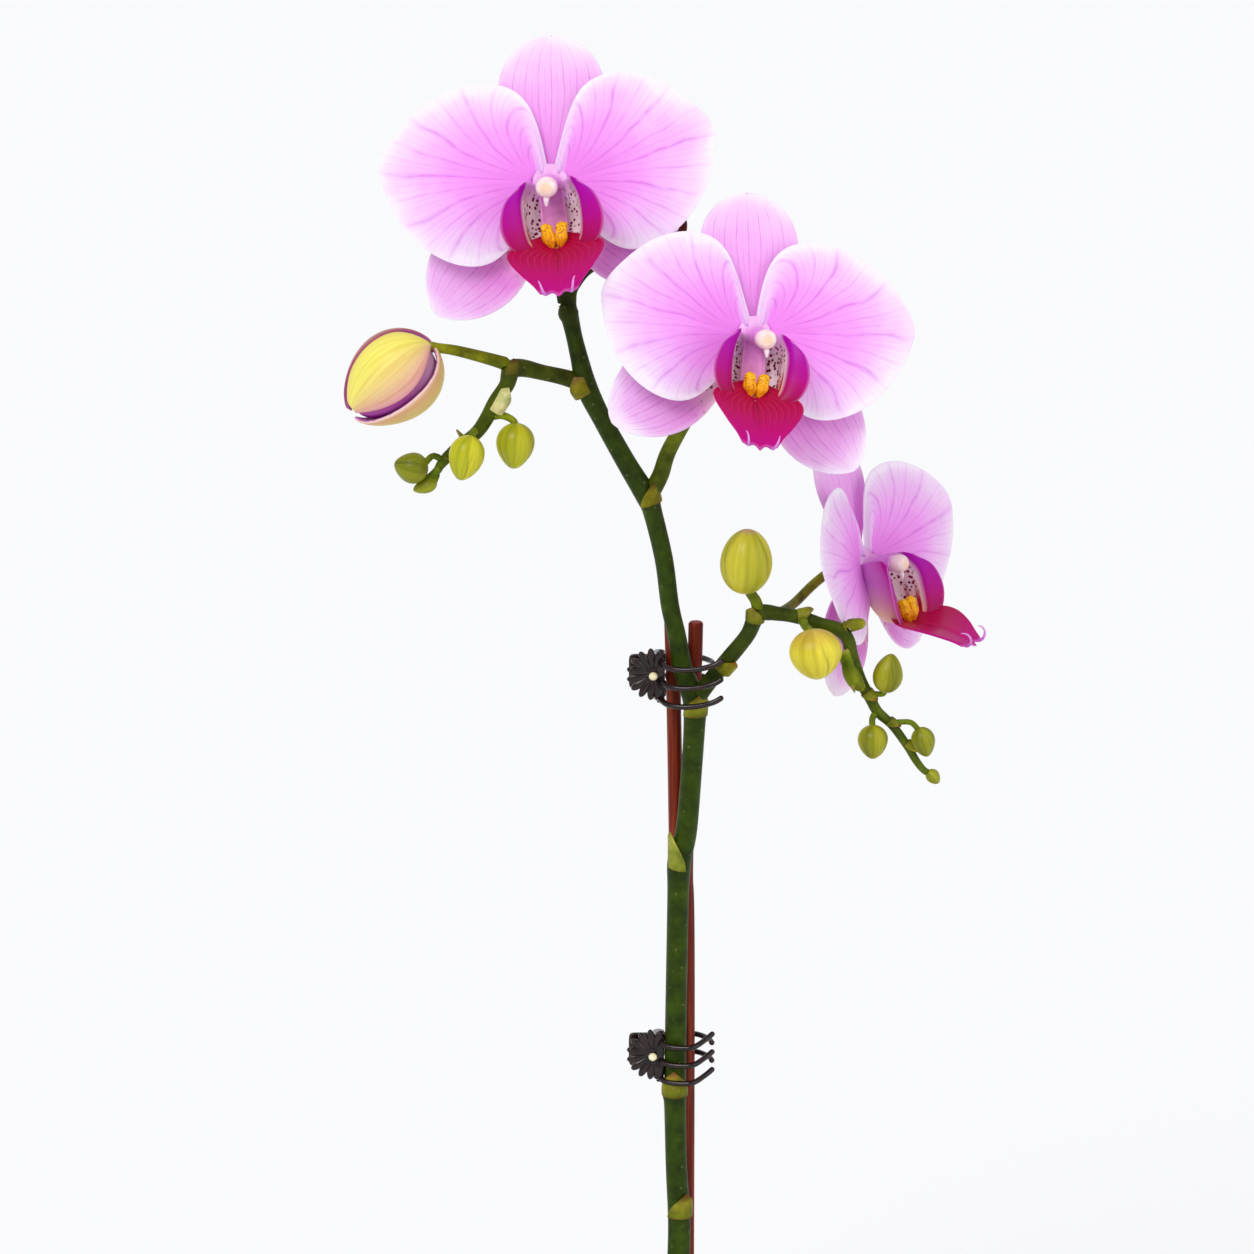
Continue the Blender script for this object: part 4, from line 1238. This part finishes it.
def daisy_grids(centre):
    """A finger tab like two thirds of a daisy: its rim radius swells once for each petal, and each petal
    has a rounded ridge with a crease between, fading out under a low hub."""
    u, v = on_grid(28, 240, math.radians(58), math.radians(302))
    petal = np.abs(np.cos(v * DAISY_PETALS / 2))
    radius = DAISY_RADIUS * (0.7 + 0.3 * petal**0.8) * u
    ridge = 0.55 * petal**0.6 * np.sin(np.pi * np.clip((u - 0.25) / 0.8, 0, 1)) ** 0.6
    hub = 0.75 * np.sqrt(np.clip(1 - (u / 0.36) ** 2, 0, 1))
    cupped = 1.2 * (1 - u) ** 1.5
    edge = np.clip((1 - u) / 0.05, 0, 1) ** 0.5
    front = centre[1] - (0.15 + 0.5 * edge + np.maximum(ridge, hub) * edge) + cupped * 0.4
    back = centre[1] + 0.15 + 0.45 * edge + 0 * u
    x, z = centre[0] + radius * np.cos(v), centre[2] + radius * np.sin(v)
    faces = [(stack(x, front, z), (v, u), None), (stack(x, back, z), (v, u), None)]
    for row, column in ((slice(None), 0), (slice(None), -1), (-1, slice(None))):
        strip = np.stack([faces[0][0][row, column], faces[1][0][row, column]], 1)
        faces.append((strip, (np.zeros(strip.shape[:2]), np.zeros(strip.shape[:2])), None))
    return faces


def moved(grids, place):
    return [(spots + np.asarray(place, float), uv, shade) for spots, uv, shade in grids]


def jaw_grids(side, knuckles, heights, path):
    top = CLIP_HALF_HEIGHT - 0.3
    near, far = 2.4, 5.2
    low, high = sorted((side * near, side * far))
    grids = [rounded_block((-1.5, low, -top), (1.5, high, top))]
    for bottom, upper in knuckles:
        front, rear = sorted((side * 1.3, side * 3.2))
        grids.append(rounded_block((-1.4, front, bottom + 0.15), (1.4, rear, upper - 0.15)))
        grids.append(knuckle(bottom, upper))
    for height in heights:
        droop = np.interp(np.linspace(0, 1, len(path)), [0, 0.3, 0.6, 0.85, 1], [0, -1.0, -0.4, 0.9, 2.2]) * (side < 0)
        rows = [(x, y, height + d, TINE_RADIUS * (1.25 if i == 0 else 1.0)) for i, ((x, y), d) in enumerate(zip(path, droop))]
        spots, uv = tube(rows, 16, 0.35, (0, 0, 1))
        grids.append((spots, uv, None))
        foot = tube([(path[0][0], path[0][1] + 0.3 * side, height - 1.6, 0.5), (path[0][0], path[0][1] - 0.2 * side, height, 1.15),
                     (path[0][0], path[0][1] + 0.3 * side, height + 1.6, 0.5)], 14, 0.3, (0, 1, 0))
        grids.append((*foot, None))
    return grids


for name, height, reach, bow, hook in CLIPS:
    place = (SPIKE_MIDDLE[0] + CLIP_PLACE[0], SPIKE_MIDDLE[1] + CLIP_PLACE[1], SPIKE_MIDDLE[2] + height)
    front_path = [(0, -4.2), (0.12 * reach, -0.78 * bow), (0.36 * reach, -0.96 * bow), (0.62 * reach, -bow),
                  (0.85 * reach, -bow * (0.3 + 0.7 * hook)), (reach, -bow * hook)]
    back_path = [(0.3, 4.2), (0.7, 7.4), (2.8, 9.9), (7.0, 10.8), (11.5, 9.2), (14.6, 5.2), (15.6, 1.2)]
    edge = CLIP_HALF_HEIGHT
    front = jaw_grids(-1, ((3.9, edge), (-edge, -3.9)), (TINE_STEP, 0, -TINE_STEP), front_path)
    front += daisy_grids((-1.7, -4.7, 1.5))
    make_piece(f"{name}_front_jaw_moulding", moved(front, place), plastic, f"{name}_front_jaw",
               body=f"{name}_jaw")
    rear = jaw_grids(1, ((1.6, 3.6), (-3.6, -1.6)), (TINE_STEP / 2, -TINE_STEP / 2), back_path)
    rear.append(rounded_block((-8.6, 3.4, -5), (-1, 4.8, 5)))
    make_piece(f"{name}_back_jaw_moulding", moved(rear, place), plastic, f"{name}_back_jaw")
    polar, around = on_grid(20, 32, 0, 2 * math.pi)
    ball = stack(np.sin(polar * np.pi) * np.cos(around), np.sin(polar * np.pi) * np.sin(around), np.cos(polar * np.pi))
    ball = ball * (1.25, 1.1, 1.2) + (-1.7, -4.7 - 0.7 - 0.3 - 1.2, 1.5)
    make_piece(f"{name}_bead_moulding", moved([(ball, (around, polar), None)], place), pearl, f"{name}_bead",
               body=f"{name}_jaw")
    end = edge + 0.3
    pin = [(0, -end - 0.8), (1.2, -end - 0.8), (1.6, -end - 0.6), (1.6, -end), (0.8, -end), (0.8, end), (1.6, end),
           (1.6, end + 0.6), (1.2, end + 0.8), (0, end + 0.8)]
    share, angle = on_grid(len(pin) - 1, 32, 0, 2 * math.pi)
    radius_at, level = np.array(pin)[:, :1], np.array(pin)[:, 1:]
    spots = stack(radius_at * np.cos(angle), radius_at * np.sin(angle), level)
    make_piece(f"{name}_hinge_pin_turned", moved([(spots, (angle, share), None)], place), steel, f"{name}_hinge_pin",
               sharp=40)
    turn = np.linspace(0, 2 * math.pi * 3, 73)
    coil = np.c_[1.5 * np.cos(turn), 1.5 * np.sin(turn), 0.85 * (turn / 2 / math.pi - 1.5), np.full(73, 0.24)]
    spots, uv = tube(coil, 10, 0.3, (0, 0, 1))
    make_piece(f"{name}_spring_coil", moved([(spots, uv, None)], place), steel, f"{name}_spring")
